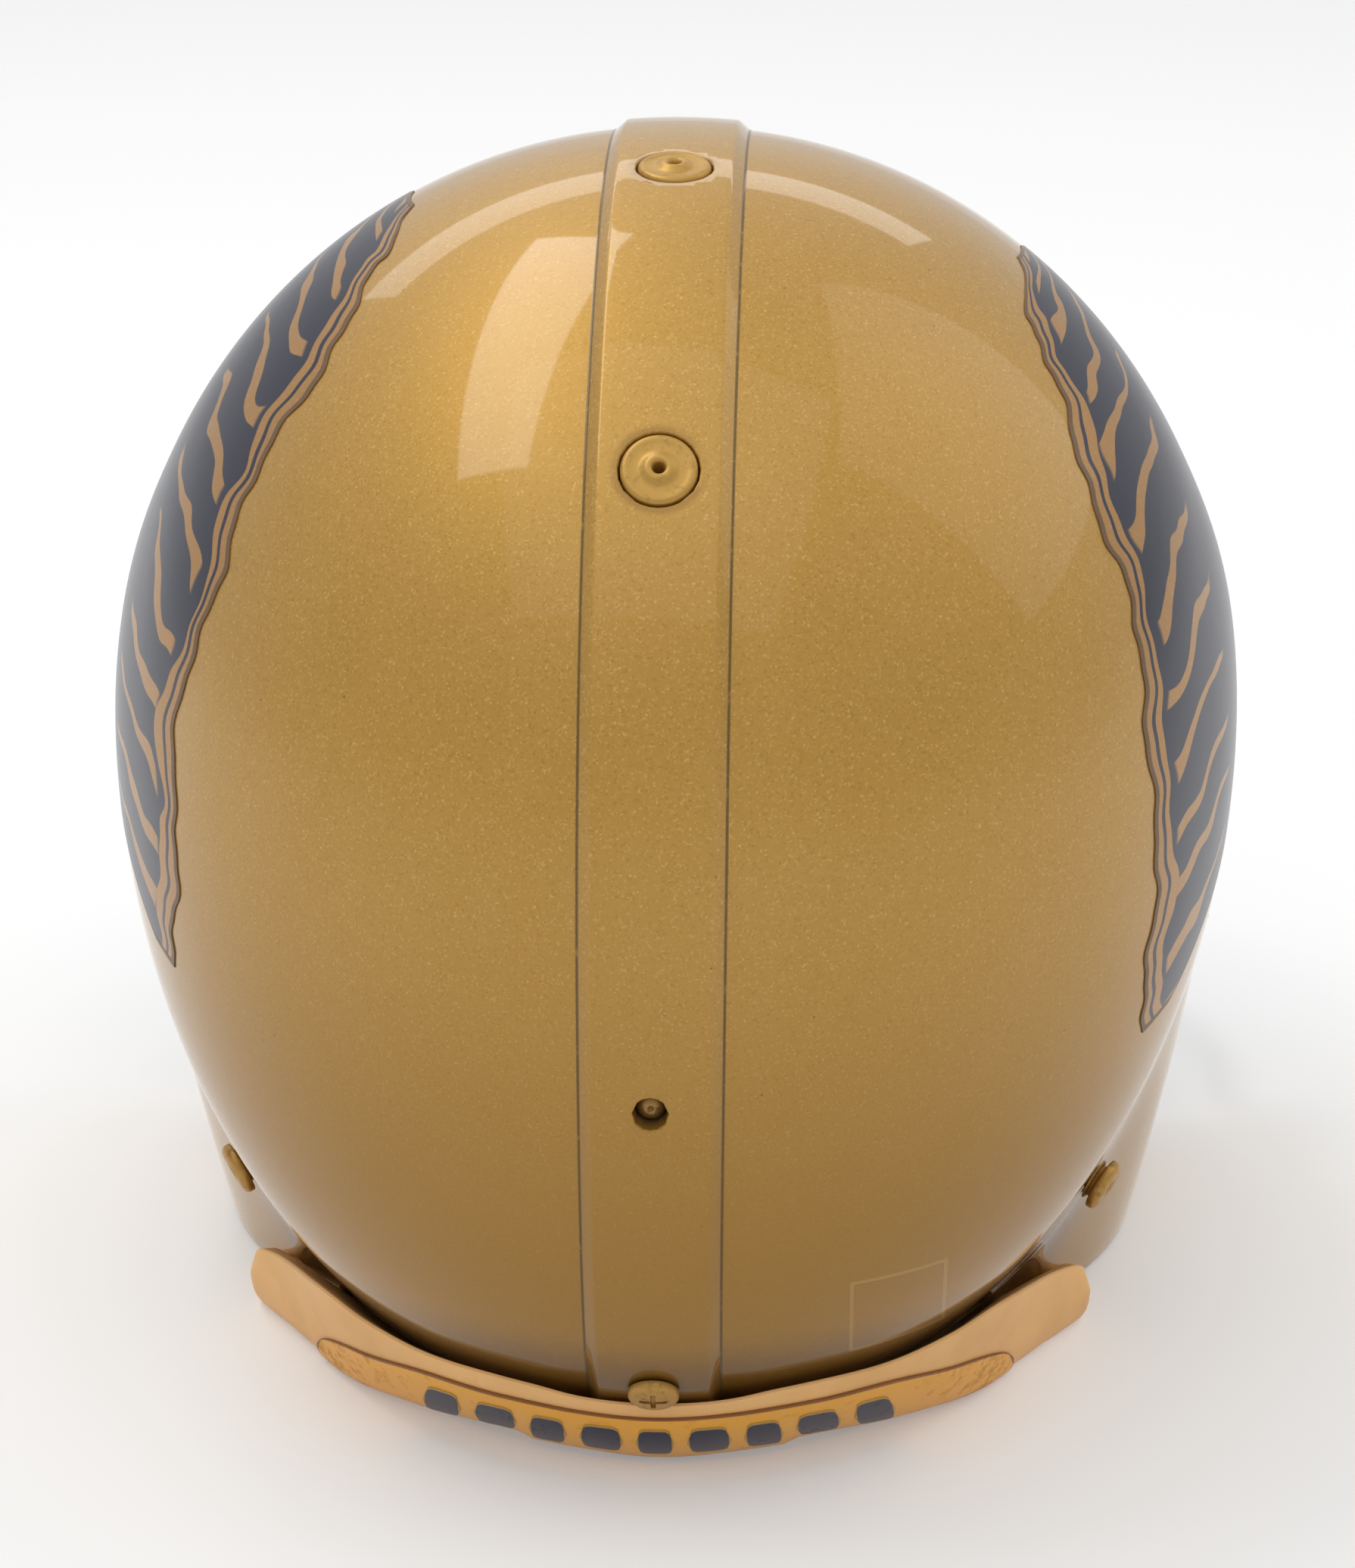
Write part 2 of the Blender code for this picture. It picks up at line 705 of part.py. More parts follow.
def build_nut(name, seat, top, parent, pad_stud=False):
    """Flanged nut about the shank, its outer face at this height. A pad stud closes its inner end."""
    bore = SHANK_RADIUS + SHANK_CLEARANCE
    if not pad_stud:
        profile = (
            (bore, top - NUT_THICKNESS),
            (NUT_RADIUS - NUT_GAP, top - NUT_THICKNESS),
            (NUT_RADIUS, top),
            (bore, top),
        )
        return turned(name, profile, seat, "steel", parent, 14, ring=True)
    floor = top - NUT_THICKNESS
    end = floor - PAD_STUD_HEIGHT
    profile = (
        (0, end),
        (PAD_STUD_RADIUS * 0.8, end),
        (PAD_STUD_RADIUS, end + PAD_STUD_HEIGHT * 0.3),
        (PAD_STUD_RADIUS * 0.8, end + PAD_STUD_HEIGHT * 0.65),
        (PAD_STUD_RADIUS * 0.8, floor),
        (NUT_RADIUS, floor),
        (NUT_RADIUS, top),
        (bore, top),
        (bore, floor - GAP),
        (0, floor - GAP),
    )
    return turned(name, profile, seat, "steel", parent, 14)


def build_strap_stud(name, seat, parent):
    """Cup button for the chin strap: a neck, an undercut and a domed cap with a flat end."""
    end = STRAP_STUD_HEIGHT
    foot = nut_top(seat) - NUT_THICKNESS + GAP
    profile = (
        (0, foot),
        (SHANK_RADIUS, foot),
        (SHANK_RADIUS, GAP),
        (STRAP_STUD_NECK, GAP),
        (STRAP_STUD_NECK, end - STRAP_STUD_RIM - GAP),
        (STRAP_STUD_RADIUS - GAP, end - STRAP_STUD_RIM),
        (STRAP_STUD_RADIUS, end - STRAP_STUD_RIM / 2),
        (STRAP_STUD_RADIUS * 0.75, end),
        (0, end),
    )
    return turned(name, profile, seat, "gold_hardware", parent, 16)


def rim_height(back, front):
    """Height of the rim's brow or nape stretch at this distance behind the widest point."""
    stretch = [spot for spot in RIM if (spot.y < -WIDEST_HEIGHT / 2 and spot.z > 0) == front]
    stretch = [spot for spot in stretch if front or spot.y > 0]
    for a, b in zip(stretch, stretch[1:]):
        if (a.y - back) * (b.y - back) <= 0 and a.y != b.y:
            return a.z + (b.z - a.z) * (back - a.y) / (b.y - a.y)
    return stretch[0].z


def rim_angle(across, front):
    """Angle at which the skin crosses the rim at this distance from the median plane."""
    low, high = (140, 175) if front else (-78, -30)
    for _ in range(30):
        middle = (low + high) / 2
        point = over(middle, across)
        above = point.z > rim_height(point.y, front)
        if above == front:
            low = middle
        else:
            high = middle
    return (low + high) / 2


def skin_seat(spot):
    """Seat on the skin under a spot near it: Z out of the skin."""
    return seat_over(math.degrees(math.atan2(spot.z, spot.y)), spot.x)


def build_hook(name, stations, outline, front, finish, parent):
    """A rubber channel swept along the rim.

    outline gives, for a station, the corners of the section. A corner is a kind, a distance out of the
    skin, and a rise over the rim along the skin or a drop below the rim's level.
    """
    points = []
    for across in stations:
        angle = rim_angle(across, front)
        seat = seat_over(angle, across)
        foot, out = seat.translation, seat.to_3x3() @ Vector((0, 0, 1))
        ahead = over(rim_angle(across + PROBE, front), across + PROBE)
        behind = over(rim_angle(across - PROBE, front), across - PROBE)
        up = out.cross((ahead - behind).normalized())
        if up.z < 0:
            up.negate()
        for kind, forth, height in outline(across, foot.z):
            if kind == "wall":
                wall = skin_seat(foot + up * height)
                spot = wall.translation + wall.to_3x3() @ Vector((0, 0, forth))
            else:
                spot = foot + out * forth + up * (-height - out.z * forth) / up.z
            spot.z = max(spot.z, -WIDEST_HEIGHT)
            points.append(spot)
    columns = len(outline(0, 0))
    faces = tube_faces(len(stations), columns, closed_rows=False)
    faces.append(tuple(range(columns)))
    faces.append(tuple(range((len(stations) - 1) * columns, len(stations) * columns)))
    return add_object(name, mesh_of(name, points, faces), finish, parent)


def ridge_clearance(across):
    """Gap of a bumper's outer wall to the skin, wider where it passes over the ridge."""
    return GAP + RIDGE_LIFT if abs(across) < RIDGE_HALF_WIDTH + RIDGE_MARGIN * 1.5 else GAP


def rear_outline(across, rim):
    """Section of the rear bumper: thick chamfered outer wall, slot for the rim, thin inner wall."""
    end = smooth_step((abs(across) / BUMPER_HALF_SPAN - 0.45) / 0.5)
    prow = BUMPER_PROW if abs(across) < BUMPER_PROW_HALF_SPAN else 0
    thick = BUMPER_THICKNESS + BUMPER_END_SWELL * end
    inner = -(WALL + HOOK_CLEARANCE)
    innermost = inner - BUMPER_INNER_WALL
    tab = 1 - smooth_step((abs(across) - TAB_HALF_WIDTH) / (TAB_SHOULDER - TAB_HALF_WIDTH))
    rise = BUMPER_INNER_RISE + (TAB_RISE - BUMPER_INNER_RISE) * tab
    floor = rim + WIDEST_HEIGHT
    near = ridge_clearance(across)
    return (
        ("wall", near, BUMPER_RISE),
        ("wall", near + thick * 0.4, BUMPER_RISE),
        ("wall", thick, BUMPER_RISE - thick * 0.5),
        ("wall", thick * 1.04 + prow, BUMPER_RISE * 0.35),
        ("wall", thick * 0.95 + prow, BUMPER_RISE * 0.05),
        ("level", thick * 0.5 + prow, floor),
        ("level", -WALL * 0.8, floor),
        ("level", innermost, HOOK_CLEARANCE),
        ("wall", innermost, rise / 3),
        ("wall", innermost, rise * 2 / 3),
        ("wall", innermost, rise),
        ("wall", inner, rise),
        ("wall", inner, rise * 2 / 3),
        ("wall", inner, rise / 3),
        ("level", inner, HOOK_CLEARANCE),
        ("level", near, HOOK_CLEARANCE),
        ("wall", near, BUMPER_RISE / 2),
    )


def brow_outline(across, rim):
    """Section of the front bumper: a thin outer wall over the brow edge with a short hook inside."""
    thick = BROW_BUMPER_THICKNESS
    inner = -(WALL + HOOK_CLEARANCE)
    innermost = inner - BROW_BUMPER_INNER_WALL
    near = ridge_clearance(across) + GAP
    return (
        ("wall", near, BROW_BUMPER_RISE),
        ("wall", max(near + GAP, thick * 0.55), BROW_BUMPER_RISE),
        ("wall", thick, BROW_BUMPER_RISE - thick * 0.6),
        ("wall", thick, GAP),
        ("level", thick * 0.6, BROW_BUMPER_LIP),
        ("level", innermost + BROW_BUMPER_INNER_WALL / 2, BROW_BUMPER_LIP),
        ("level", innermost, GAP),
        ("level", inner, -BROW_BUMPER_TURN),
        ("level", inner, HOOK_CLEARANCE),
        ("level", near, HOOK_CLEARANCE),
        ("wall", near, BROW_BUMPER_RISE / 2),
    )


def spread(half_span, count, extra=()):
    """Stations from one side to the other, closer at the ends, with extra ones on both sides."""
    found = {-half_span * math.cos(math.pi * k / count) for k in range(count + 1)}
    found |= {side * across for across in extra for side in (-1, 1)}
    return sorted(found)


def build_bar(name, path, parent):
    """One coated wire of the face guard, round and with filled ends."""
    curve = bpy.data.curves.new(name, "CURVE")
    curve.dimensions = "3D"
    curve.bevel_depth = BAR_RADIUS
    curve.bevel_resolution = 2
    curve.render_resolution_u = 0
    curve.use_fill_caps = True
    spline = curve.splines.new("POLY")
    spline.points.add(len(path) - 1)
    for spot, place in zip(spline.points, path):
        spot.co = (*place, 1)
    return add_object(name, curve, "guard_coat", parent)


def hoop(half_span, end_back, reach, height):
    """Level hoop round the face from the right side to the left one."""
    path = []
    for k in range(HOOP_STEPS + 1):
        turn = math.pi * k / HOOP_STEPS
        aside, ahead = math.cos(turn), math.sin(turn)
        x = -math.copysign(half_span * abs(aside) ** (2 / HOOP_POWER), aside)
        path.append(Vector((x, end_back - (reach + end_back) * abs(ahead) ** (2 / HOOP_POWER), height)))
    return path


def nearest_along(path, axis, value, side):
    """Point of the path whose coordinate on this axis is the value, on this side, and its direction."""
    for a, b in zip(path, path[1:]):
        if (a.x + b.x) * side > 0 and (a[axis] - value) * (b[axis] - value) <= 0 and a[axis] != b[axis]:
            share = (value - a[axis]) / (b[axis] - a[axis])
            return a.lerp(b, share), (b - a).normalized()
    raise ValueError(f"the path never passes {value}")


def butt_ends(low, low_along, high, high_along):
    """Ends of a straight bar between two others' axes that leave the gap to both."""
    rise = (high - low).normalized()
    room = [BAR_RADIUS + GAP + BAR_RADIUS * abs(rise.dot(along)) for along in (low_along, high_along)]
    return low + rise * room[0], high - rise * room[1]


def clip_seat(side):
    """Seat of a side clip on the jaw flap: X runs forward to the guard."""
    return seat_beside(SIDE_CLIP_BACK, SIDE_CLIP_HEIGHT, side, 0, (0, -1, 0))


def brow_clip_seat(side):
    """Seat of a brow clip: X runs down to the guard's brow bar."""
    across = side * BROW_CLIP_ACROSS
    rise = BROW_BAR_RISE + CLIP_REACH
    angle = rim_angle(across, True)
    foot = over(angle, across)
    angle -= math.degrees(rise / math.hypot(foot.y, foot.z))
    return seat_over(angle, across, 0, 0, (0, 0, -1))


def build_guard(parent):
    """Chin, mouth and brow bars with their posts, each welded wire a piece of its own."""
    bar_out = GAP + STRAP_THICKNESS + GAP + BAR_RADIUS
    half = SIDE_CLIP_WIDTH / 2 + UPRIGHT_CLEAR
    uprights = {}
    for side in (-1, 1):
        seat = clip_seat(side)
        up = 1 if (seat.to_3x3() @ Vector((0, 1, 0))).z > 0 else -1
        heights = (UPRIGHT_TOP, half, 0, -half, -half * STRAIGHT_SHARE)
        uprights[side] = [seat @ Vector((CLIP_REACH, up * height, bar_out)) for height in heights]
    foot = uprights[1][4]
    bend = foot.z - CHIN_BAR_HEIGHT
    for side in (-1, 1):
        turns = [math.pi / 2 * k / CHIN_BEND_STEPS for k in range(1, CHIN_BEND_STEPS)]
        knee = [Vector((0, bend * (math.cos(turn) - 1), -bend * math.sin(turn))) for turn in turns]
        uprights[side] += [uprights[side][4] + spot for spot in knee]
    chin_hoop = hoop(foot.x, foot.y - bend, CHIN_REACH, CHIN_BAR_HEIGHT)
    path = uprights[-1] + chin_hoop + list(reversed(uprights[1]))
    chin = smooth_path(path, BAR_STEPS)
    build_bar("guard_chin_bar", chin, parent)

    top = [uprights[1][1], uprights[1][0]]
    share = (MOUTH_BAR_HEIGHT - top[0].z) / (top[1].z - top[0].z)
    end = top[0].lerp(top[1], share)
    mouth = hoop(end.x, end.y - BAR_RADIUS - GAP - GAP, GUARD_REACH, MOUTH_BAR_HEIGHT)
    mouth = smooth_path(mouth, 2)
    build_bar("guard_mouth_bar", mouth, parent)

    half_path = []
    for across in (0, 0.27, 0.54):
        place = across * BROW_CLIP_ACROSS
        angle = rim_angle(place, True)
        spot = over(angle, place)
        angle -= math.degrees(BROW_BAR_RISE / math.hypot(spot.y, spot.z))
        seat = seat_over(angle, place)
        half_path.append(seat @ Vector((0, 0, BROW_BAR_OUT)))
    seat = brow_clip_seat(1)
    aside = BROW_CLIP_WIDTH / 2 + UPRIGHT_CLEAR
    turn = 1 if (seat.to_3x3() @ Vector((0, 1, 0))).x > 0 else -1
    for share in (-STRAIGHT_SHARE, -1, 0, 1, STRAIGHT_SHARE):
        half_path.append(seat @ Vector((CLIP_REACH, turn * aside * share, bar_out)))
    half_path += [Vector(shares) * HALF_WIDTH for shares in BROW_LEG_SHARES]
    landing, _ = nearest_along(mouth, 1, BROW_LEG_BACK, 1)
    half_path.append(landing + Vector((0, 0, BAR_RADIUS + GAP + GAP)))
    mirrored = [Vector((-spot.x, spot.y, spot.z)) for spot in reversed(half_path[1:])]
    build_bar("guard_brow_bar", smooth_path(mirrored + half_path, BAR_STEPS), parent)

    for word, across in (("centre", CENTRE_POST_ACROSS), ("side", SIDE_POST_ACROSS)):
        for side, hand in ((1, "left"), (-1, "right")):
            low, low_along = nearest_along(chin, 0, side * across, side)
            high, high_along = nearest_along(mouth, 0, side * across, side)
            build_bar(f"guard_{word}_post_{hand}", butt_ends(low, low_along, high, high_along), parent)


def build_clip(name, seat, width, parent):
    """A strap folded round a guard bar, its two tails held by one screw. Returns the head's height."""
    half = STRAP_THICKNESS / 2
    low = GAP + half
    centre = GAP + STRAP_THICKNESS + GAP + BAR_RADIUS
    high = low + STRAP_THICKNESS + GAP
    radius = centre - low
    path = [Vector((-STRAP_TAIL, low)), Vector((0, low))]
    for k in range(LOOP_STEPS + 1):
        turn = math.radians(-90 + (LOOP_TURN + 90) * k / LOOP_STEPS)
        path.append(Vector((CLIP_REACH + radius * math.cos(turn), centre + radius * math.sin(turn))))
    fall = path[-1].y - high
    path += [Vector((path[-1].x - fall, high)), Vector((0, high)), Vector((-STRAP_TAIL, high))]
    points = []
    for i, spot in enumerate(path):
        before, after = path[max(i - 1, 0)], path[min(i + 1, len(path) - 1)]
        arrive = (spot - before).normalized() if i else (after - spot).normalized()
        leave = (after - spot).normalized() if i < len(path) - 1 else arrive
        mitre = (arrive + leave).normalized()
        normal = Vector((-mitre.y, mitre.x)) * half / max(mitre.dot(arrive), 0.5)
        for sign, aside in ((1, -1), (1, 1), (-1, 1), (-1, -1)):
            place = spot + normal * sign
            points.append(seat @ Vector((place.x, aside * width / 2, place.y)))
    faces = tube_faces(len(path), 4, closed_rows=False)
    faces.append((0, 1, 2, 3))
    faces.append(tuple(range(len(points) - 4, len(points))))
    clip = add_object(name, mesh_of(name, points, faces), "clear_strap", parent)
    reach = high + STRAP_THICKNESS
    cut(clip, [drill(f"{name}_tool", SHANK_RADIUS + SHANK_CLEARANCE, seat, -reach, reach, parent, 14)])
    return high + half


def ring_of(scale, place, depth, lower=0.0):
    """One closed ring of a pad, as a rounded rectangle of this scale."""
    ring = []
    for k in range(PAD_STEPS):
        turn = 2 * math.pi * (k + 0.5) / PAD_STEPS
        aside, ahead = math.cos(turn), math.sin(turn)
        u = math.copysign(abs(aside) ** (2 / PAD_POWER), aside) * scale
        v = math.copysign(abs(ahead) ** (2 / PAD_POWER), ahead) * scale
        ring.append(place(u, v, depth, lower))
    return ring


def build_pad(name, place, clearance, thickness, finish, parent, origin=None):
    """A crowned pad along the wall.

    place turns two coordinates from -1 to 1, a depth below the skin and a shift inwards into a point.
    """
    back = WALL + clearance
    rounding = thickness * 0.28
    rings = [ring_of(scale, place, back) for scale in (0.24, 0.5, 0.74, 0.95)]
    rings.append(ring_of(1, place, back, rounding * 0.5))
    rings.append(ring_of(1, place, back, thickness - rounding - PAD_CROWN))
    rings.append(ring_of(0.93, place, back, thickness - rounding * 0.3 - PAD_CROWN))
    rings.append(ring_of(0.62, place, back, thickness - PAD_CROWN * 0.4))
    rings.append(ring_of(0.3, place, back, thickness))
    points = [place(0, 0, back, 0)] + [spot for ring in rings for spot in ring]
    points.append(place(0, 0, back, thickness))
    last = len(points) - 1
    start = last - PAD_STEPS
    faces = []
    for k in range(PAD_STEPS):
        after = (k + 1) % PAD_STEPS
        faces.append((0, 1 + k, 1 + after))
        faces.append((last, start + after, start + k))
        for row in range(len(rings) - 1):
            a = 1 + row * PAD_STEPS
            b = a + PAD_STEPS
            faces.append((a + k, b + k, b + after, a + after))
    shift = origin or Vector((0, 0, 0))
    pad = add_object(name, mesh_of(name, [spot - shift for spot in points], faces), finish, parent)
    pad.location = shift
    return pad


def over_patch(low, high, middle, half_span):
    """Placing function of a pad between two angles, about a distance from the median plane."""

    def place(u, v, depth, lower):
        return over((low + high) / 2 + v * (high - low) / 2, middle + u * half_span, depth + lower)

    return place


def side_patch(side):
    """Placing function of a side liner, drawn inwards along the skin's normal."""

    def place(u, v, depth, lower):
        back = SIDE_PAD_BACK + u * SIDE_PAD_HALF_LENGTH
        height = SIDE_PAD_HEIGHT + v * SIDE_PAD_HALF_HEIGHT
        return beside(back, height, side, depth + lower)

    return place


def jaw_patch(side):
    """Placing function of a jaw pad, drawn inwards across the helmet."""

    def place(u, v, depth, lower):
        back = JAW_PAD_BACK + u * JAW_PAD_HALF_LENGTH
        height = JAW_PAD_HEIGHT + u * JAW_PAD_TILT + v * JAW_PAD_HALF_HEIGHT
        return beside(back, height, side, depth) - Vector((side * lower, 0, 0))

    return place


def build_liner(parent, holes, studs):
    """The air liner's cells and the comfort pads, each with pockets for the hardware behind it."""

    def flange(seat, radius):
        return seat, radius, FLANGE_THICKNESS - flange_top(seat, radius)

    def nut(seat):
        return seat, NUT_RADIUS, NUT_THICKNESS - nut_top(seat)

    def above_rim(rise):
        return rim + math.degrees(rise / edge)

    rim = rim_angle(0, False)
    edge = over(rim, 0).length
    pockets = {
        "crown_liner": (flange(holes["crown_valve"][0], VALVE_FLANGE_RADIUS),),
        "back_liner": (
            flange(holes["rear_valve"][0], VALVE_FLANGE_RADIUS),
            flange(holes["rivet"][0], RIVET_FLANGE_RADIUS),
        ),
        "front_pad": (nut(holes["brow_clip_left"][0]), nut(holes["brow_clip_right"][0])),
        "side_liner_left": (nut(studs["upper_left"]),),
        "side_liner_right": (nut(studs["upper_right"]),),
    }
    neck = above_rim(NECK_LOW_RISE), above_rim(NECK_HIGH_RISE)
    patches = (
        ("crown_liner", over_patch(63, 117, 0, CROWN_HALF_SPAN), LINER_THICKNESS),
        ("back_liner", over_patch(above_rim(BACK_LOW_RISE), 56, 0, BACK_HALF_SPAN), LINER_THICKNESS),
        ("front_pad", over_patch(122, 149, 0, FRONT_HALF_SPAN), FRONT_PAD_THICKNESS),
        ("neck_pad_left", over_patch(*neck, NECK_ACROSS, NECK_HALF_SPAN), NECK_PAD_THICKNESS),
        ("neck_pad_right", over_patch(*neck, -NECK_ACROSS, NECK_HALF_SPAN), NECK_PAD_THICKNESS),
        ("side_liner_left", side_patch(1), LINER_THICKNESS),
        ("side_liner_right", side_patch(-1), LINER_THICKNESS),
    )
    for name, place, thickness in patches:
        clearance = PAD_CLEARANCE + (GAP if name.startswith("neck") else 0)
        pad = build_pad(name, place, clearance, thickness, "liner_vinyl", parent)
        tools = []
        for number, (seat, radius, depth) in enumerate(pockets.get(name, ())):
            low = -depth - POCKET_CLEARANCE
            tools.append(drill(f"{name}_pocket_{number}", radius + POCKET_CLEARANCE, seat, low, 0, parent, 20))
        cut(pad, tools)


def build_jaw_pad(name, side, studs, parent):
    """A jaw pad with sockets that take the pad studs. It slides off them across the helmet."""
    place = jaw_patch(side)
    origin = place(0, 0, WALL + JAW_PAD_CLEARANCE, JAW_PAD_THICKNESS / 2)
    pad = build_pad(name, place, JAW_PAD_CLEARANCE, JAW_PAD_THICKNESS, "jaw_vinyl", parent, origin)
    tools = []
    for number, seat in enumerate(studs):
        half = PAD_STUD_HEIGHT / 2
        middle = seat @ Vector((0, 0, nut_top(seat) - NUT_THICKNESS - half))
        slant = math.acos(min((seat.to_3x3() @ Vector((0, 0, 1))).x * side, 1))
        socket = seat_matrix(middle, Vector((side, 0, 0)), Vector((0, 1, 0)))
        low = -(half * math.cos(slant) + PAD_STUD_RADIUS * math.sin(slant) + SOCKET_CLEARANCE)
        radius = PAD_STUD_RADIUS + half * math.sin(slant) + SOCKET_CLEARANCE
        tools.append(drill(f"{name}_socket_{number}", radius, socket, low, CUT_OVERRUN, parent, 18))
    cut(pad, tools)
    return pad


def main():
    """Builds the whole helmet."""
    clear_scene()
    rear = max(skin_point(360 * k / RING_COUNT, 0, 0, RIDGE_LIFT).y for k in range(RING_COUNT))
    helmet = bpy.data.objects.new("helmet", None)
    bpy.context.scene.collection.objects.link(helmet)
    helmet.location = (0, (GUARD_REACH + BAR_RADIUS - rear) / 2, WIDEST_HEIGHT)

    shank = SHANK_RADIUS + SHANK_CLEARANCE
    rim = rim_angle(0, False)
    rear_screw = seat_over(rim + math.degrees(REAR_SCREW_RISE / over(rim, 0).length), 0, 0, RIDGE_LIFT)
    holes = {
        "crown_valve": (seat_over(CROWN_VALVE_ANGLE, 0, 0, RIDGE_LIFT), VALVE_RADIUS + GAP),
        "rear_valve": (seat_over(REAR_VALVE_ANGLE, 0, 0, RIDGE_LIFT), VALVE_RADIUS + GAP),
        "rivet": (seat_over(RIVET_ANGLE, 0, 0, RIDGE_LIFT), RIVET_HOLE_RADIUS),
        "rear_screw": (rear_screw, shank),
    }
    studs = {}
    for side, hand in ((1, "left"), (-1, "right")):
        studs[f"upper_{hand}"] = seat_beside(UPPER_STUD_BACK, UPPER_STUD_HEIGHT, side)
        studs[f"lower_{hand}"] = seat_beside(LOWER_STUD_BACK, LOWER_STUD_HEIGHT, side)
        holes[f"side_clip_{hand}"] = (clip_seat(side), shank)
        holes[f"brow_clip_{hand}"] = (brow_clip_seat(side), shank)
        across = side * BROW_SCREW_ACROSS
        foot = over(rim_angle(across, True), across)
        angle = rim_angle(across, True) - math.degrees(BROW_SCREW_RISE / math.hypot(foot.y, foot.z))
        holes[f"front_bumper_{hand}"] = (seat_over(angle, across), shank)
    for name, seat in studs.items():
        holes[f"stud_{name}"] = (seat, shank)
    build_shell(helmet, holes)

    build_valve("crown_valve", CROWN_VALVE_ANGLE, helmet)
    build_valve("rear_valve", REAR_VALVE_ANGLE, helmet)
    build_rivet(helmet)

    groove = (RIDGE_HALF_WIDTH + RIDGE_MARGIN, RIDGE_HALF_WIDTH + RIDGE_MARGIN * 2)
    stations = spread(BUMPER_HALF_SPAN, BUMPER_STATIONS, (
        TAB_HALF_WIDTH, TAB_SHOULDER, BUMPER_PROW_HALF_SPAN, BUMPER_PROW_HALF_SPAN - BUMPER_PROW, *groove))
    bumper = build_hook("rear_bumper", stations, rear_outline, False, "tan_rubber", helmet)
    tab_depth = RIDGE_LIFT + WALL + HOOK_CLEARANCE + BUMPER_INNER_WALL
    cut(bumper, [drill("tab_tool", shank, rear_screw, -tab_depth - TAB_SHOULDER, -RIDGE_LIFT, helmet, 14)])
    tab_face = inner_drop(rear_screw, NUT_RADIUS) + HOOK_CLEARANCE + BUMPER_INNER_WALL
    build_screw("rear_bumper_screw", rear_screw, tab_face + TAB_NUT_GAP + NUT_THICKNESS, helmet)
    build_nut("rear_bumper_nut", rear_screw, -(tab_face + TAB_NUT_GAP), helmet)

    stations = spread(BROW_BUMPER_HALF_SPAN, BROW_BUMPER_STATIONS, groove)
    brow_bumper = build_hook("front_bumper", stations, brow_outline, True, "tan_rubber", helmet)
    for hand in ("left", "right"):
        seat = holes[f"front_bumper_{hand}"][0]
        tool = drill(f"front_bumper_{hand}_hole_tool", shank, seat, -WALL / 2, TAB_SHOULDER, helmet, 14)
        cut(brow_bumper, [tool])
        lift = GAP + BROW_BUMPER_THICKNESS
        build_screw(f"front_bumper_screw_{hand}", seat, NUT_THICKNESS - nut_top(seat) - GAP, helmet,
                    "gold_hardware", lift + GAP)
        build_nut(f"front_bumper_nut_{hand}", seat, nut_top(seat), helmet)

    for name, seat in studs.items():
        build_strap_stud(f"strap_stud_{name}", seat, helmet)
        build_nut(f"strap_stud_nut_{name}", seat, nut_top(seat), helmet, name.startswith("lower"))

    build_guard(helmet)
    for side, hand in ((1, "left"), (-1, "right")):
        for word, seat, width in (
            ("side", clip_seat(side), SIDE_CLIP_WIDTH),
            ("brow", brow_clip_seat(side), BROW_CLIP_WIDTH),
        ):
            top = build_clip(f"{word}_clip_{hand}", seat, width, helmet)
            stack = NUT_THICKNESS - nut_top(seat) - GAP
            build_screw(f"{word}_clip_screw_{hand}", seat, stack, helmet, "steel", top + GAP)
            build_nut(f"{word}_clip_nut_{hand}", seat, nut_top(seat), helmet, word == "side")

    build_liner(helmet, holes, studs)
    for side, hand in ((1, "left"), (-1, "right")):
        build_jaw_pad(f"jaw_pad_{hand}", side, (clip_seat(side), studs[f"lower_{hand}"]), helmet)


RIM = rim_line()

main()
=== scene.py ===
"""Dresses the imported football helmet.

The shell, bumpers, wires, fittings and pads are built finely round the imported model, each from the sizes
that the model's own forms have. Lengths are in metres, +Z is up and the face opening looks along -Y.
"""

from __future__ import annotations

import json
import logging
import math
from dataclasses import dataclass, field
from enum import Enum
from typing import Any, Sequence

import bpy
import numpy as np
from mathutils import Matrix, Vector

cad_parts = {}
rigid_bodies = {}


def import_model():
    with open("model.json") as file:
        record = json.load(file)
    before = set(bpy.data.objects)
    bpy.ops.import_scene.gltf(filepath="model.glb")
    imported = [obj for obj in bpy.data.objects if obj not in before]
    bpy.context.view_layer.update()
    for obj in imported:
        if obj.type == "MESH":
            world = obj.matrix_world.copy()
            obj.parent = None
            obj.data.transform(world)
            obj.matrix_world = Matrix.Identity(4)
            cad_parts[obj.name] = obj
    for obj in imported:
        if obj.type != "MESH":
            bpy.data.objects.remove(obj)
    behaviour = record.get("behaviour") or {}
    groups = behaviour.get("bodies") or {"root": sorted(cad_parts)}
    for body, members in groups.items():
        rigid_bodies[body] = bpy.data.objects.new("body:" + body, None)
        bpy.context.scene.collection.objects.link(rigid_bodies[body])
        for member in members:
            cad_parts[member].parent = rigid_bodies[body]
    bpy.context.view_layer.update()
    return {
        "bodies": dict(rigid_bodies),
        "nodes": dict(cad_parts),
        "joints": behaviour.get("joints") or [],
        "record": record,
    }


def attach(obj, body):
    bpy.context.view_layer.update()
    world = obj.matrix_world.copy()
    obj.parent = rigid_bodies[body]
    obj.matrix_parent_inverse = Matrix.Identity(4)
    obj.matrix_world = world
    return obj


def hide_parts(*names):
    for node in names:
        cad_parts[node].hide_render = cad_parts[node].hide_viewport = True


LOG = logging.getLogger("helmet")
Colour = tuple[float, float, float]
Pair = tuple[float, float]
Material = bpy.types.Material
Piece = bpy.types.Object

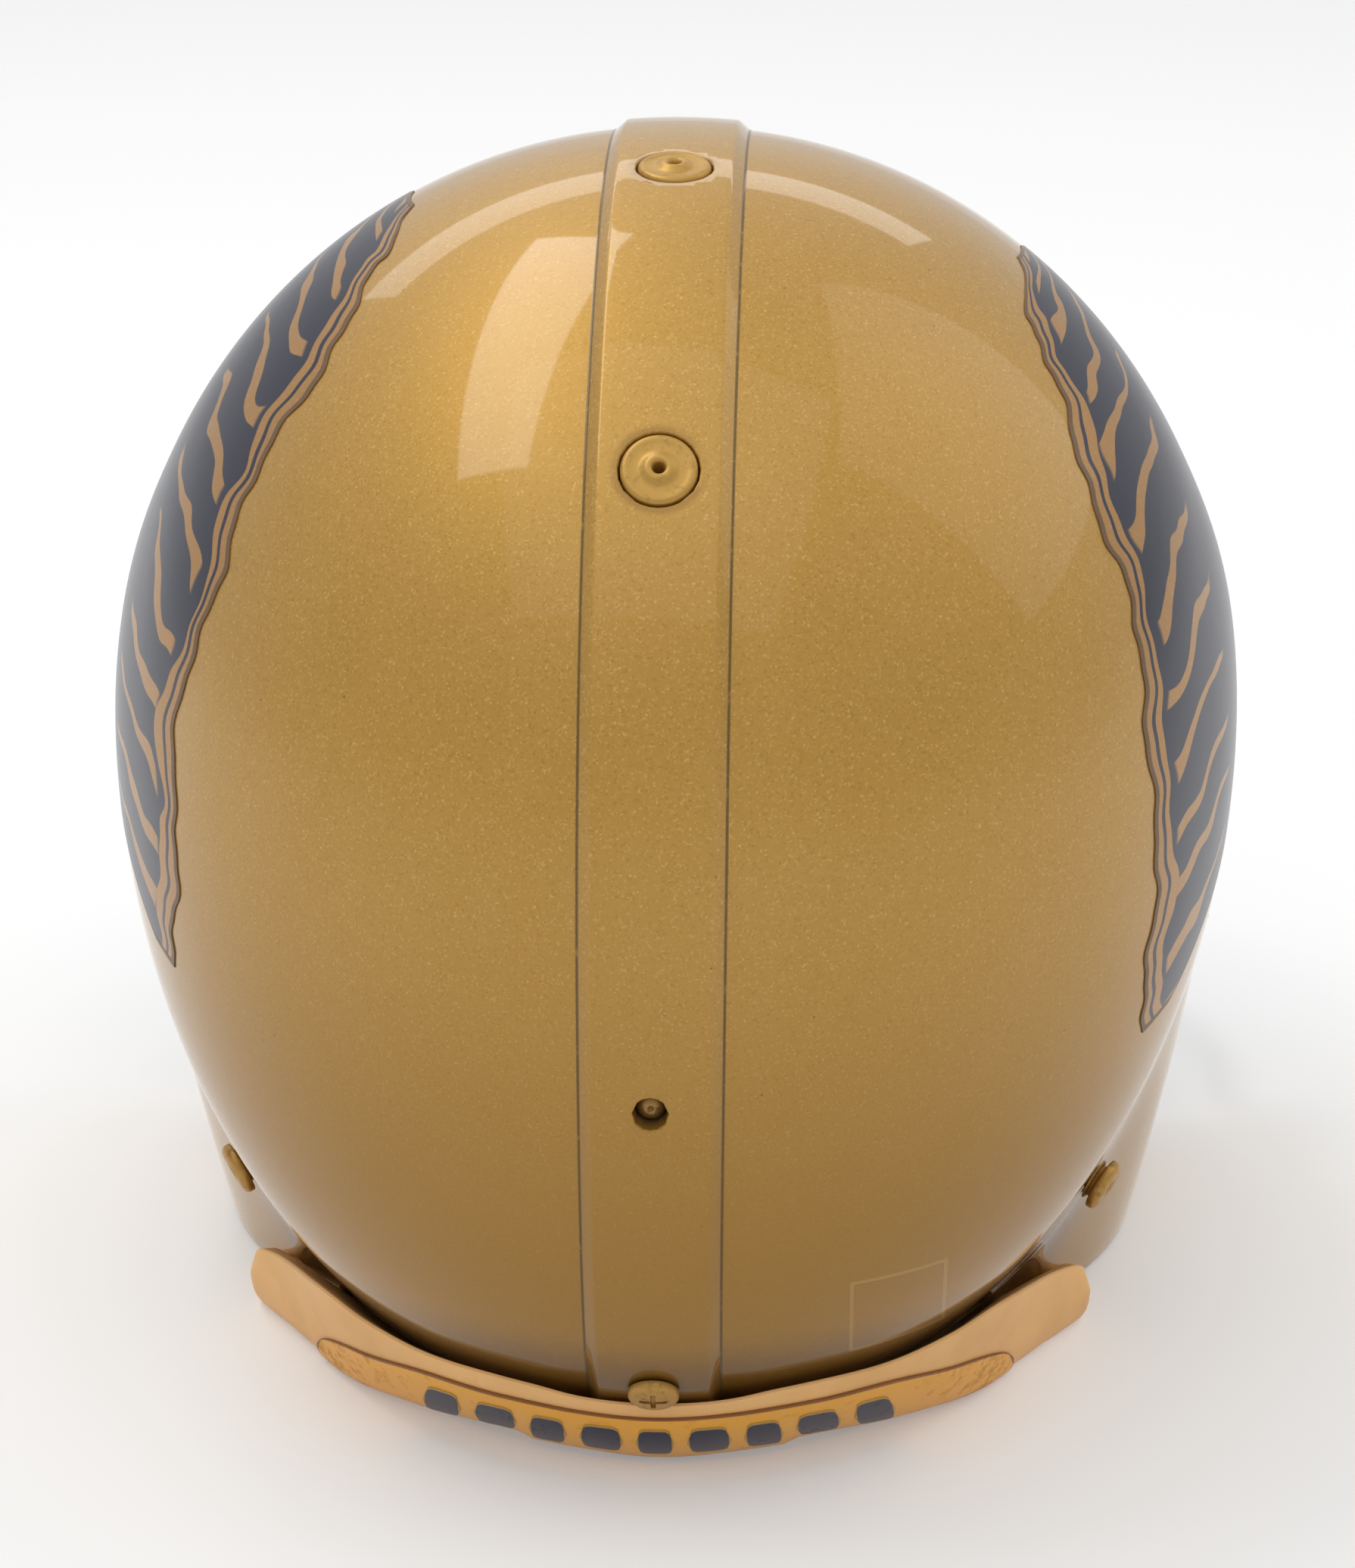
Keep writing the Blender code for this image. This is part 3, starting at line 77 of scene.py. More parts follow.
# The widest point of the shell's sides, on the median plane
ORIGIN = np.array((0.0, 0.0224001, 0.1215))
# Angles round the width axis, in degrees
VALVE_ANGLES = {"crown_valve": 75.3, "rear_valve": 38.8}


# ---- shader maths


class Value:
    """A number in a material, on which Python sums add their Math nodes."""

    def __init__(self, recipe: "Recipe", socket: bpy.types.NodeSocket) -> None:
        """Wraps an output socket of a material."""
        self.recipe = recipe
        self.socket = socket

    def sum(self, operation: str, *others: "Value | float") -> "Value":
        """The result of one Math node on this number and others."""
        return self.recipe.number("ShaderNodeMath", {"operation": operation}, dict(enumerate((self, *others))))

    def __add__(self, other: "Value | float") -> "Value":
        """This plus another."""
        return self.sum("ADD", other)

    def __radd__(self, other: float) -> "Value":
        """A number plus this."""
        return self.sum("ADD", other)

    def __sub__(self, other: "Value | float") -> "Value":
        """This less another."""
        return self.sum("SUBTRACT", other)

    def __rsub__(self, other: float) -> "Value":
        """A number less this."""
        return (self * -1).sum("ADD", other)

    def __mul__(self, other: "Value | float") -> "Value":
        """This times another."""
        return self.sum("MULTIPLY", other)

    def __rmul__(self, other: float) -> "Value":
        """A number times this."""
        return self.sum("MULTIPLY", other)

    def __truediv__(self, other: "Value | float") -> "Value":
        """This over another."""
        return self.sum("DIVIDE", other)

    def size(self) -> "Value":
        """This without its sign."""
        return self.sum("ABSOLUTE")

    def most(self, other: "Value | float") -> "Value":
        """The larger of this and another."""
        return self.sum("MAXIMUM", other)

    def step(self, low: float, high: float) -> "Value":
        """A smooth rise from 0 to 1, or a fall where low is the greater.

        Args:
            low: Where the result is 0.
            high: Where the result is 1.

        Returns:
            The eased share.
        """
        settings = {"interpolation_type": "SMOOTHSTEP", "clamp": True}
        ends = (low, high, 0.0, 1.0) if low < high else (high, low, 1.0, 0.0)
        return self.recipe.number("ShaderNodeMapRange", settings, dict(enumerate((self, *ends))))


class Recipe:
    """One material made of nodes round a Principled shader."""

    def __init__(self, name: str, **constants: Any) -> None:
        """Starts the material.

        Args:
            name: Name of the material.
            constants: Values of the shader's own sockets, with _ for each space.
        """
        self.material = bpy.data.materials.new(name)
        self.material.use_nodes = True
        self.tree = self.material.node_tree
        self.shader = self.tree.nodes["Principled BSDF"]
        self.coordinates = self.tree.nodes.new("ShaderNodeTexCoord").outputs["Object"]
        for word, value in constants.items():
            self.shader.inputs[word.replace("_", " ")].default_value = value

    def node(self, kind: str, settings: dict[str, Any], inputs: dict[Any, Any]) -> bpy.types.Node:
        """Adds any node.

        Args:
            kind: The node's type.
            settings: Its properties, and stops as (place, colour) for a ramp.
            inputs: Values or sources of its sockets, by name or number.

        Returns:
            The node.
        """
        made = self.tree.nodes.new(kind)
        for word, value in settings.items():
            if word == "stops":
                ramp = made.color_ramp
                while len(ramp.elements) < len(value):
                    ramp.elements.new(0.5)
                for element, (place, colour) in zip(ramp.elements, value):
                    element.position = place
                    element.color = (*colour, 1)
            else:
                setattr(made, word, value)
        for socket, value in inputs.items():
            self.feed(made.inputs[socket], value)
        return made

    def feed(self, socket: bpy.types.NodeSocket, value: Any) -> None:
        """Gives a socket a value or a link.

        Args:
            socket: The input.
            value: A Value, an output socket, a number or a colour.
        """
        if isinstance(value, Value):
            self.tree.links.new(value.socket, socket)
        elif isinstance(value, bpy.types.NodeSocket):
            self.tree.links.new(value, socket)
        elif socket.type == "RGBA":
            socket.default_value = (*value, 1)
        else:
            socket.default_value = value

    def number(self, kind: str, settings: dict[str, Any], inputs: dict[Any, Any], output: Any = 0) -> Value:
        """Adds a node and wraps the output of this name or number."""
        return Value(self, self.node(kind, settings, inputs).outputs[output])

    def mapped(self, scale: Sequence[float] = (1, 1, 1), turn: Sequence[float] = (0, 0, 0)) -> Any:
        """The object's coordinates, turned in radians and scaled."""
        inputs = {"Vector": self.coordinates, "Rotation": turn, "Scale": scale}
        return self.node("ShaderNodeMapping", {}, inputs).outputs[0]

    def axis(self, letter: str) -> Value:
        """One of the object's coordinates, named X, Y or Z."""
        return self.number("ShaderNodeSeparateXYZ", {}, {0: self.coordinates}, letter)

    def attribute(self, name: str) -> Value:
        """A number that the mesh carries."""
        return self.number("ShaderNodeAttribute", {"attribute_name": name}, {}, "Fac")

    def noise(self, scale: float, detail: float = 3.0, roughness: float = 0.5, vector: Any = None) -> Value:
        """Cloudy noise about one half, its scale in waves to a metre, on the object's coordinates or others."""
        inputs = {"Vector": vector or self.coordinates, "Scale": scale, "Detail": detail, "Roughness": roughness}
        return self.number("ShaderNodeTexNoise", {}, inputs)

    def cells(self, scale: float, output: str = "Distance") -> Value:
        """The distance to the nearest of so many cells to a metre, or as Color a random number of each."""
        inputs = {"Vector": self.coordinates, "Scale": scale}
        return self.number("ShaderNodeTexVoronoi", {"feature": "F1"}, inputs, output)

    def blend(self, share: Value | float, first: Any, second: Any) -> Any:
        """Mixes two colours or colour sockets, with share 0 for the first and 1 for the second."""
        settings = {"data_type": "RGBA", "clamp_factor": True}
        return self.node("ShaderNodeMix", settings, {0: share, 6: first, 7: second}).outputs[2]

    def relief(self, height: Value, distance: float, strength: float = 1.0) -> None:
        """Bumps the surface, where a height of 1 stands up this distance."""
        inputs = {"Height": height, "Distance": distance, "Strength": strength}
        self.feed(self.shader.inputs["Normal"], self.node("ShaderNodeBump", {}, inputs).outputs[0])

    def give(self, **values: Any) -> "Recipe":
        """Feeds the shader's sockets, with _ for each space in a name.

        Args:
            values: What each socket gets.

        Returns:
            This recipe.
        """
        for word, value in values.items():
            self.feed(self.shader.inputs[word.replace("_", " ")], value)
        return self


# ---- finishes


@dataclass(frozen=True)
class FlakePaint:
    """Gold metal flake under clear lacquer, with dirt and scuffs, painted shade on its low back, a darker foot above
    the rear bumper that is painted shade and reflection with some dirt, and a painted highlight along the stamp frame.
    """

    name: str = "gold_flake"
    gold: Colour = (0.500, 0.280, 0.048)
    pale: Colour = (0.720, 0.470, 0.160)
    deep: Colour = (0.300, 0.145, 0.008)
    # foot: colour of the painted shade and reflection above the rear bumper, partly dirt
    foot: Colour = (0.120, 0.052, 0.003)
    dirt: Colour = (0.045, 0.028, 0.010)
    inside: Colour = (0.10, 0.085, 0.06)
    ridge_edge: float = 13.5

    def make(self) -> Material:
        """Builds the material.

        Returns:
            The material.
        """
        mix = Recipe(self.name, Coat_Weight=1.0, Coat_Roughness=0.05, Coat_IOR=1.36, IOR=1.4)
        flakes = mix.cells(2300, "Color")
        grit = mix.noise(1900, 2, 0.6)
        cloud = mix.noise(38, 4, 0.6)
        fine = mix.noise(420, 3, 0.6)
        colour = mix.blend(cloud.step(0.35, 0.65) * 0.06, self.gold, self.pale)
        colour = mix.blend(flakes.step(0.55, 1.0) * grit.step(0.40, 0.60) * 0.70, colour, self.pale)
        colour = mix.blend(flakes.step(0.35, 0.0) * 0.40, colour, self.deep)
        back, height = mix.axis("Y"), mix.axis("Z")
        # Painted shade: the low back of the shell is blended towards the deep colour, darker towards the bottom.
        low = height.step(0.150, 0.050) * back.step(-0.02, 0.06)
        colour = mix.blend(low * 0.75, colour, self.deep)
        # Painted shade and reflection: the shell darkens just above the rear bumper, where the bumper's gap shades it
        # and is mirrored in it; the noise makes the band partly dirt.
        rise = mix.attribute("rise")
        bumper_shade_zone = back.step(0.040, 0.060)
        foot = (rise + fine * 4.0 - 2.0).step(38.0, 22.0) * bumper_shade_zone
        colour = mix.blend(foot * 0.85, colour, self.foot)
        across = mix.attribute("across").size()
        # A dark, dull line along each foot of the ridge, broken up by noise; it also thins the coat.
        groove = (across - self.ridge_edge).size().step(0.42, 0.1) * (fine + 0.30).step(0.45, 0.75)
        colour = mix.blend(groove * 0.75, colour, self.dirt)
        streak = mix.noise(90, 2, 0.5, mix.mapped((1, 0.06, 1), (0, 0, 0.5)))
        scratch = streak.step(0.735, 0.760) * mix.noise(17, 2, 0.5).step(0.52, 0.62)
        specks = mix.cells(160).step(0.055, 0.03) * mix.noise(21, 1, 0.5).step(0.50, 0.62)
        colour = mix.blend(scratch * 0.30, colour, self.pale)
        colour = mix.blend(specks * 0.45, colour, self.dirt)
        edge = mix.attribute("edge")
        worn = edge.step(1.6, 0.2) * mix.noise(55, 3, 0.6).step(0.40, 0.60)
        colour = mix.blend(worn * 0.55, colour, self.deep)
        inner = mix.attribute("inner")
        colour = mix.blend(inner, colour, mix.blend(cloud, self.inside, self.dirt))
        # Shine is also lowered where the shade above the bumper is painted.
        shine = 0.62 - inner * 0.62 - foot * 0.30 - groove * 0.3 - worn * 0.3
        rough = 0.46 + cloud * 0.04 + flakes * 0.10 + inner * 0.2 + scratch * 0.2
        # Painted highlight: a pale line along the embossed stamp frame, on top of its bump.
        beside = (mix.axis("X") + 0.0465).size() / 0.0095
        frame = (beside.most((height - 0.0405).size() / 0.0105) - 0.94).size().step(0.06, 0.025) * back.step(0.05, 0.06)
        colour = mix.blend(frame * 0.22, colour, self.pale)
        mix.relief(flakes * 0.4 + mix.noise(60, 2, 0.5) * 0.6 - scratch * 0.6 + frame * 5.0, 0.00006, 0.6)
        coat = 1.0 - inner * 0.85 - groove * 0.4 - mix.noise(120, 4, 0.7).step(0.60, 0.75) * 0.15
        return mix.give(Base_Color=colour, Metallic=shine, Roughness=rough, Coat_Weight=coat).material


@dataclass(frozen=True)
class Brass:
    """Painted or plated hardware with patches of dirt."""

    name: str
    face: Colour
    dirt: Colour
    metal: float = 0.8
    rough: float = 0.34
    grain: float = 900.0
    soil: float = 0.7

    def make(self) -> Material:
        """Builds the material.

        Returns:
            The material.
        """
        mix = Recipe(self.name)
        cloud = mix.noise(self.grain * 0.35, 4, 0.65)
        fine = mix.noise(self.grain, 3, 0.6)
        dirt = (cloud * 0.6 + fine * 0.4).step(0.50, 0.66) * self.soil
        colour = mix.blend(dirt, self.face, self.dirt)
        mix.relief(fine, 0.00004, 0.5)
        return mix.give(Base_Color=colour, Metallic=self.metal - dirt * 0.4 * self.metal,
                        Roughness=self.rough + dirt * 0.25).material


@dataclass(frozen=True)
class BumperRubber:
    """Moulded tan rubber with a faint mottle and darker marks."""

    name: str
    face: Colour
    dirt: Colour

    def make(self) -> Material:
        """Builds the material.

        Returns:
            The material.
        """
        mix = Recipe(self.name, Specular_IOR_Level=0.4)
        cloud = mix.noise(45, 4, 0.6)
        fine = mix.noise(1500, 2, 0.5)
        marks = mix.noise(130, 4, 0.75).step(0.60, 0.74)
        colour = mix.blend(cloud.step(0.42, 0.70) * 0.28, self.face, self.dirt)
        colour = mix.blend(marks * 0.18, colour, self.dirt)
        mix.relief(fine * 0.6 + cloud * 0.4, 0.00005, 0.7)
        return mix.give(Base_Color=colour, Roughness=0.46 + fine * 0.10 + marks * 0.12).material


@dataclass(frozen=True)
class PrintedLabel:
    """Printed vinyl: a gold field with a brown border, mottled by wear."""

    name: str
    face: Colour
    border: Colour
    dirt: Colour
    border_width: float = 0.45

    def make(self) -> Material:
        """Builds the material.

        Returns:
            The material.
        """
        mix = Recipe(self.name, Coat_Weight=0.08, Coat_Roughness=0.25, IOR=1.35)
        # The label grows darker towards its ends, on top of its worn mottle.
        ends = mix.attribute("across").size().step(38.0, 62.0)
        wear = mix.noise(260, 4, 0.75)
        dirt = (wear + ends * 0.10).step(0.56, 0.70)
        colour = mix.blend(dirt * (0.25 + ends * 0.4), self.face, self.dirt)
        rim = mix.attribute("edge").step(self.border_width + 0.15, self.border_width - 0.15)
        colour = mix.blend(rim, colour, self.border)
        mix.relief(wear, 0.00003, 0.5)
        return mix.give(Base_Color=colour, Roughness=0.40 + dirt * 0.2).material


@dataclass(frozen=True)
class SideFilmVinyl:
    """Tan printed film: a navy field with tan slashes, a navy line round it, and grime on its rim."""

    name: str = "side_film"
    field_colour: Colour = (0.42, 0.215, 0.060)
    navy: Colour = (0.006, 0.008, 0.028)
    grime: Colour = (0.150, 0.080, 0.030)
    slash_pitch: float = 15.0

    def make(self) -> Material:
        """Builds the material.

        Returns:
            The material.
        """
        mix = Recipe(self.name, Coat_Weight=0.4, Coat_Roughness=0.08, Coat_IOR=1.35, IOR=1.4)
        gap = mix.attribute("gap")
        tall = mix.attribute("tall")
        flakes = mix.cells(2200, "Color")
        wave = mix.noise(48, 1, 0.5) - 0.5
        line = (gap - 3.6 - wave * 5.0).size().step(0.75, 0.45)
        field_edge = gap - 6.6 - wave * 12.0
        slash = ((tall + gap * 0.5 + wave * 14.0) / self.slash_pitch).sum("FRACT") - 0.5
        slash = (slash.size() + gap * 0.003).step(0.19, 0.165) * gap.step(8.0, 9.5) * gap.step(44.0, 40.0)
        navy = line.most(field_edge.step(-0.2, 0.2) * (1.0 - slash))
        pale = tuple(c * 1.5 for c in self.field_colour)
        colour = mix.blend(flakes.step(0.55, 1.0) * 0.35, self.field_colour, pale)
        colour = mix.blend(navy, colour, self.navy)
        edge = mix.attribute("edge")
        soot = mix.noise(420, 4, 0.65)
        dirt = edge.step(1.5, 1.1) * (0.75 + soot * 0.5)
        colour = mix.blend(dirt, colour, self.grime)
        mix.relief(mix.noise(70, 3, 0.5) + flakes * 0.06 + edge.step(1.5, 0.9) * 1.6 + dirt * soot, 0.00012, 0.8)
        return mix.give(Base_Color=colour, Metallic=(1.0 - navy) * 0.4 * (1.0 - dirt),
                        Roughness=0.40 + dirt * 0.2).material


@dataclass(frozen=True)
class ClearPlastic:
    """Yellowed clear plastic of the guard's straps."""

    name: str = "amber_strap"
    clear: Colour = (0.93, 0.80, 0.56)
    stain: Colour = (0.66, 0.44, 0.20)

    def make(self) -> Material:
        """Builds the material.

        Returns:
            The material.
        """
        mix = Recipe(self.name, Transmission_Weight=0.9, IOR=1.36)
        cloud = mix.noise(160, 4, 0.65)
        scuffs = mix.noise(900, 3, 0.6, mix.mapped((1, 1, 0.15)))
        colour = mix.blend(cloud.step(0.38, 0.66), self.clear, self.stain)
        mix.relief(scuffs, 0.00005, 0.5)
        return mix.give(Base_Color=colour, Roughness=0.10 + scuffs * 0.16).material


@dataclass(frozen=True)
class DippedWire:
    """Dark vinyl coat of the guard's wires with rubs."""

    name: str = "dipped_wire"
    coat: Colour = (0.010, 0.012, 0.026)
    rubbed: Colour = (0.045, 0.046, 0.055)

    def make(self) -> Material:
        """Builds the material.

        Returns:
            The material.
        """
        mix = Recipe(self.name, Coat_Weight=0.3, Coat_Roughness=0.25)
        cloud = mix.noise(70, 4, 0.6)
        fine = mix.noise(650, 3, 0.65)
        rub = (cloud * 0.55 + fine * 0.45).step(0.52, 0.64)
        mix.relief(fine * 0.4 + mix.noise(120, 2, 0.5), 0.0001, 0.5)
        return mix.give(Base_Color=mix.blend(rub * 0.7, self.coat, self.rubbed), Roughness=0.30 + rub * 0.3).material


class Grain(Enum):
    """How the vinyl of a pad is embossed."""

    FINE = 900.0
    LEATHER = 420.0


@dataclass(frozen=True)
class PadVinyl:
    """Embossed vinyl skin of a pad, dull in its creases, with painted shade darkening its channels."""

    name: str
    face: Colour
    # crease: colour of the vinyl's darker mottle and of the painted shade in the channels
    crease: Colour
    grain: Grain = Grain.LEATHER
    rough: float = 0.5

    def make(self) -> Material:
        """Builds the material.

        Returns:
            The material.
        """
        mix = Recipe(self.name, Specular_IOR_Level=0.45)
        pebbles = mix.cells(self.grain.value * 2)
        cloud = mix.noise(28, 4, 0.6)
        seam = mix.attribute("seam")
        # Painted shade: the channels are darkened towards the crease colour; the cloud mottle is the vinyl's own uneven
        # tone.
        colour = mix.blend((cloud.step(0.35, 0.70) * 0.45).most(seam * 0.8), self.face, self.crease)
        mix.relief(pebbles * 0.8 + mix.noise(130, 3, 0.5), 0.00014, 0.6)
        return mix.give(Base_Color=colour, Roughness=self.rough + pebbles * 0.12 + seam * 0.1).material


@dataclass(frozen=True)
class StudioFloor:
    """White sweep under the helmet that keeps its shadow."""

    name: str = "studio_floor"
    paint: Colour = (0.74, 0.74, 0.74)
    lift: float = 0.24

    def make(self) -> Material:
        """Builds the material.

        Returns:
            The material.
        """
        mix = Recipe(self.name, Roughness=0.75)
        cloud = mix.noise(1.5, 2, 0.5)
        mix.give(Base_Color=mix.blend(cloud * 0.3, self.paint, tuple(c * 0.99 for c in self.paint)))
        path = mix.node("ShaderNodeLightPath", {}, {})
        seen = Value(mix, path.outputs["Is Camera Ray"])
        seen = seen.most(Value(mix, path.outputs["Is Transmission Ray"])).most(
            Value(mix, path.outputs["Is Glossy Ray"]))
        glow = mix.node("ShaderNodeEmission", {}, {"Color": (1, 1, 1), "Strength": self.lift})
        both = mix.node("ShaderNodeAddShader", {}, {0: mix.shader.outputs[0], 1: glow.outputs[0]})
        chosen = mix.node("ShaderNodeMixShader", {}, {0: seen, 1: mix.shader.outputs[0], 2: both.outputs[0]})
        mix.tree.links.new(chosen.outputs[0], mix.tree.nodes["Material Output"].inputs["Surface"])
        return mix.material


class Finishes:
    """All the finishes of the helmet, each made on first use."""

    recipes = {
        "shell": FlakePaint(),
        "film": SideFilmVinyl(),
        "valve": Brass("valve_gold", (0.52, 0.30, 0.065), (0.26, 0.14, 0.025), 0.45, 0.40, 1200, 0.4),
        "hardware": Brass("painted_gold", (0.48, 0.27, 0.065), (0.09, 0.045, 0.012), 0.6, 0.38, 900, 0.5),
        "rivet": Brass("old_brass", (0.32, 0.19, 0.06), (0.05, 0.03, 0.012), 0.85, 0.4),
        "steel": Brass("plated_steel", (0.52, 0.51, 0.49), (0.16, 0.13, 0.10), 1.0, 0.28),
        "rubber": BumperRubber("tan_rubber", (0.95, 0.55, 0.215), (0.68, 0.36, 0.12)),
        "label": PrintedLabel("gold_label", (0.92, 0.44, 0.05), (0.26, 0.10, 0.025), (0.50, 0.23, 0.045)),
        "print": PrintedLabel("navy_print", (0.012, 0.014, 0.040), (0.50, 0.30, 0.06), (0.05, 0.04, 0.04), 0.35),
        "strap": ClearPlastic(),
        "wire": DippedWire(),
        "liner": PadVinyl("liner_vinyl", (0.030, 0.031, 0.035), (0.012, 0.012, 0.013)),
        "front": PadVinyl("front_vinyl", (0.040, 0.040, 0.044), (0.014, 0.014, 0.015), Grain.FINE),
        "jaw": PadVinyl("jaw_vinyl", (0.62, 0.60, 0.55), (0.34, 0.31, 0.26), Grain.FINE, 0.46),
        "floor": StudioFloor(),
    }
    made: dict[str, Material] = {}

    @classmethod
    def of(cls, word: str) -> Material:
        """The finish of this short name.

        Args:
            word: One of the keys of recipes.

        Returns:
            The material.
        """
        if word not in cls.made:
            cls.made[word] = cls.recipes[word].make()
        return cls.made[word]


# ---- modelling bench


class Bench:
    """Steps of modelling that every sub-assembly shares."""

    @staticmethod
    def clear() -> None:
        """Leaves edit mode with nothing selected."""
        if bpy.context.object and bpy.context.object.mode != "OBJECT":
            bpy.ops.object.mode_set(mode="OBJECT")
        bpy.ops.object.select_all(action="DESELECT")

    @staticmethod
    def pick(piece: Piece) -> None:
        """Makes a piece the only one selected."""
        Bench.clear()
        piece.select_set(True)
        bpy.context.view_layer.objects.active = piece

    @staticmethod
    def named(name: str) -> Piece:
        """Names the object that was just added."""
        made = bpy.context.object
        made.name = name
        made.data.name = name
        return made

    @staticmethod
    def tidy(piece: Piece, near: float = 1e-6, fill: bool = False) -> Piece:
        """Merges doubles, closes holes if asked, and turns the faces outwards.

        Args:
            piece: The piece.
            near: Distance under which points merge.
            fill: Whether open ends are closed.

        Returns:
            The piece.
        """
        Bench.pick(piece)
        bpy.ops.object.mode_set(mode="EDIT")
        bpy.ops.mesh.select_all(action="SELECT")
        bpy.ops.mesh.remove_doubles(threshold=near)
        if fill:
            bpy.ops.mesh.fill_holes(sides=0)
            bpy.ops.mesh.select_all(action="SELECT")
        bpy.ops.mesh.normals_make_consistent(inside=False)
        bpy.ops.object.mode_set(mode="OBJECT")
        return piece

    @staticmethod
    def sheet(name: str, rows: np.ndarray, wrap: bool = False, closed: bool = False) -> Piece:
        """A grid whose points are laid at the given places.

        Args:
            name: Name of the piece.
            rows: Places as an array of rows, columns and coordinates.
            wrap: Whether each row closes on itself.
            closed: Whether the open ends are filled.

        Returns:
            The piece.
        """
        if wrap:
            rows = np.concatenate((rows, rows[:, :1]), axis=1)
        Bench.clear()
        bpy.ops.mesh.primitive_grid_add(x_subdivisions=rows.shape[1] - 1, y_subdivisions=rows.shape[0] - 1, size=1)
        made = Bench.named(name)
        made.data.vertices.foreach_set("co", rows.reshape(-1).astype(np.float32))
        made.data.update()
        return Bench.tidy(made, 1e-6, closed) if wrap or closed else made

    @staticmethod
    def lathe(name: str, profile: Sequence[Pair], seat: Matrix, steps: int = 48) -> Piece:
        """A round piece spun from its outline.

        Args:
            name: Name of the piece.
            profile: Outline as pairs of a radius and a height.
            seat: Place of the piece, its Z the axis.
            steps: Faces round the turn.

        Returns:
            The piece.
        """
        Bench.clear()
        bpy.ops.mesh.primitive_plane_add(size=0.001)
        made = Bench.named(name)
        bpy.ops.object.mode_set(mode="EDIT")
        bpy.ops.mesh.merge(type="CENTER")
        bpy.ops.transform.translate(value=(profile[0][0], 0, profile[0][1]))
        for (radius, height), (wider, higher) in zip(profile, profile[1:]):
            bpy.ops.mesh.extrude_region_move(TRANSFORM_OT_translate={"value": (wider - radius, 0, higher - height)})
        bpy.ops.mesh.select_all(action="SELECT")
        bpy.ops.mesh.spin(steps=steps, angle=2 * math.pi, center=(0, 0, 0), axis=(0, 0, 1))
        bpy.ops.object.mode_set(mode="OBJECT")
        Bench.tidy(made, 2e-6)
        return Bench.settle(made, seat)

    @staticmethod
    def settle(piece: Piece, seat: Matrix) -> Piece:
        """Puts a piece at its place and keeps the place in its mesh."""
        Bench.pick(piece)
        piece.matrix_world = seat
        bpy.ops.object.transform_apply(location=True, rotation=True, scale=True)
        return piece

    @staticmethod
    def modifier(piece: Piece, kind: str, **settings: Any) -> Piece:
        """Adds a modifier and applies it.

        Args:
            piece: The piece.
            kind: The modifier's type.
            settings: Its properties.

        Returns:
            The piece.
        """
        Bench.pick(piece)
        added = piece.modifiers.new(kind.lower(), kind)
        for word, value in settings.items():
            setattr(added, word, value)
        bpy.ops.object.modifier_apply(modifier=added.name)
        return piece

    @staticmethod
    def rounded(piece: Piece, width: float, segments: int = 3, angle: float = 30) -> Piece:
        """Rounds the edges sharper than an angle in degrees."""
        return Bench.modifier(piece, "BEVEL", width=width, segments=segments, limit_method="ANGLE",
                              angle_limit=math.radians(angle), use_clamp_overlap=True)

    @staticmethod
    def smooth(piece: Piece, angle: float = 40) -> Piece:
        """Shades a piece smooth except at edges sharper than an angle in degrees."""
        Bench.pick(piece)
        bpy.ops.object.shade_smooth_by_angle(angle=math.radians(angle))
        return piece

    @staticmethod
    def copy_node(node: str, name: str) -> Piece:
        """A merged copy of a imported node's mesh.

        Args:
            node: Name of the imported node.
            name: Name of the copy.

        Returns:
            The copy, with its loose triangles joined and flat faces dissolved.
        """
        source = NODES[node]
        made = bpy.data.objects.new(name, source.data.copy())
        bpy.context.scene.collection.objects.link(made)
        made.data.materials.clear()
        made.matrix_world = source.matrix_world
        Bench.settle(made, made.matrix_world.copy())
        Bench.pick(made)
        bpy.ops.object.mode_set(mode="EDIT")
        bpy.ops.mesh.select_all(action="SELECT")
        bpy.ops.mesh.remove_doubles(threshold=2e-6)
        bpy.ops.mesh.dissolve_limited(angle_limit=math.radians(2))
        bpy.ops.mesh.customdata_custom_splitnormals_clear()
        bpy.ops.object.mode_set(mode="OBJECT")
        return made

    @staticmethod
    def join(name: str, pieces: Sequence[Piece]) -> Piece:
        """Joins pieces into one mesh."""
        Bench.clear()
        for piece in pieces:
            piece.select_set(True)
        bpy.context.view_layer.objects.active = pieces[0]
        bpy.ops.object.join()
        return Bench.named(name)

    @staticmethod
    def carry(piece: Piece, word: str, values: Any) -> None:
        """Writes a number of each point into the mesh for its material."""
        layer = piece.data.attributes.new(word, "FLOAT", "POINT")
        layer.data.foreach_set("value", np.asarray(values, dtype=np.float32).reshape(-1))

    @staticmethod
    def points(piece: Piece) -> np.ndarray:
        """The places of a piece's points."""
        flat = np.empty(len(piece.data.vertices) * 3, dtype=np.float32)
        piece.data.vertices.foreach_get("co", flat)
        return flat.reshape(-1, 3).astype(float)

    @staticmethod
    def place(piece: Piece, points: np.ndarray) -> None:
        """Moves a piece's points to these places."""
        piece.data.vertices.foreach_set("co", points.astype(np.float32).reshape(-1))
        piece.data.update()

    @staticmethod
    def dress(piece: Piece, finish: str, slot: str, body: str, *nodes: str) -> Piece:
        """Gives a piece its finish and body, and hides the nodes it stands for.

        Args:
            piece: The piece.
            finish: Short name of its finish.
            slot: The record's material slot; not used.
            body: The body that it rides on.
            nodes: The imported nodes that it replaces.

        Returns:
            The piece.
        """
        piece.data.materials.clear()
        piece.data.materials.append(Finishes.of(finish))
        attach(piece, body)
        if nodes:
            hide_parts(*nodes)
        LOG.info("%s: %d faces", piece.name, len(piece.data.polygons))
        return piece


NODES: dict[str, Piece] = {}


# ---- the skin


def smooth_step(share: np.ndarray | float) -> np.ndarray:
    """0 below 0, 1 above 1, and a smooth rise between."""
    held = np.clip(share, 0, 1)
    return held * held * (3 - 2 * held)


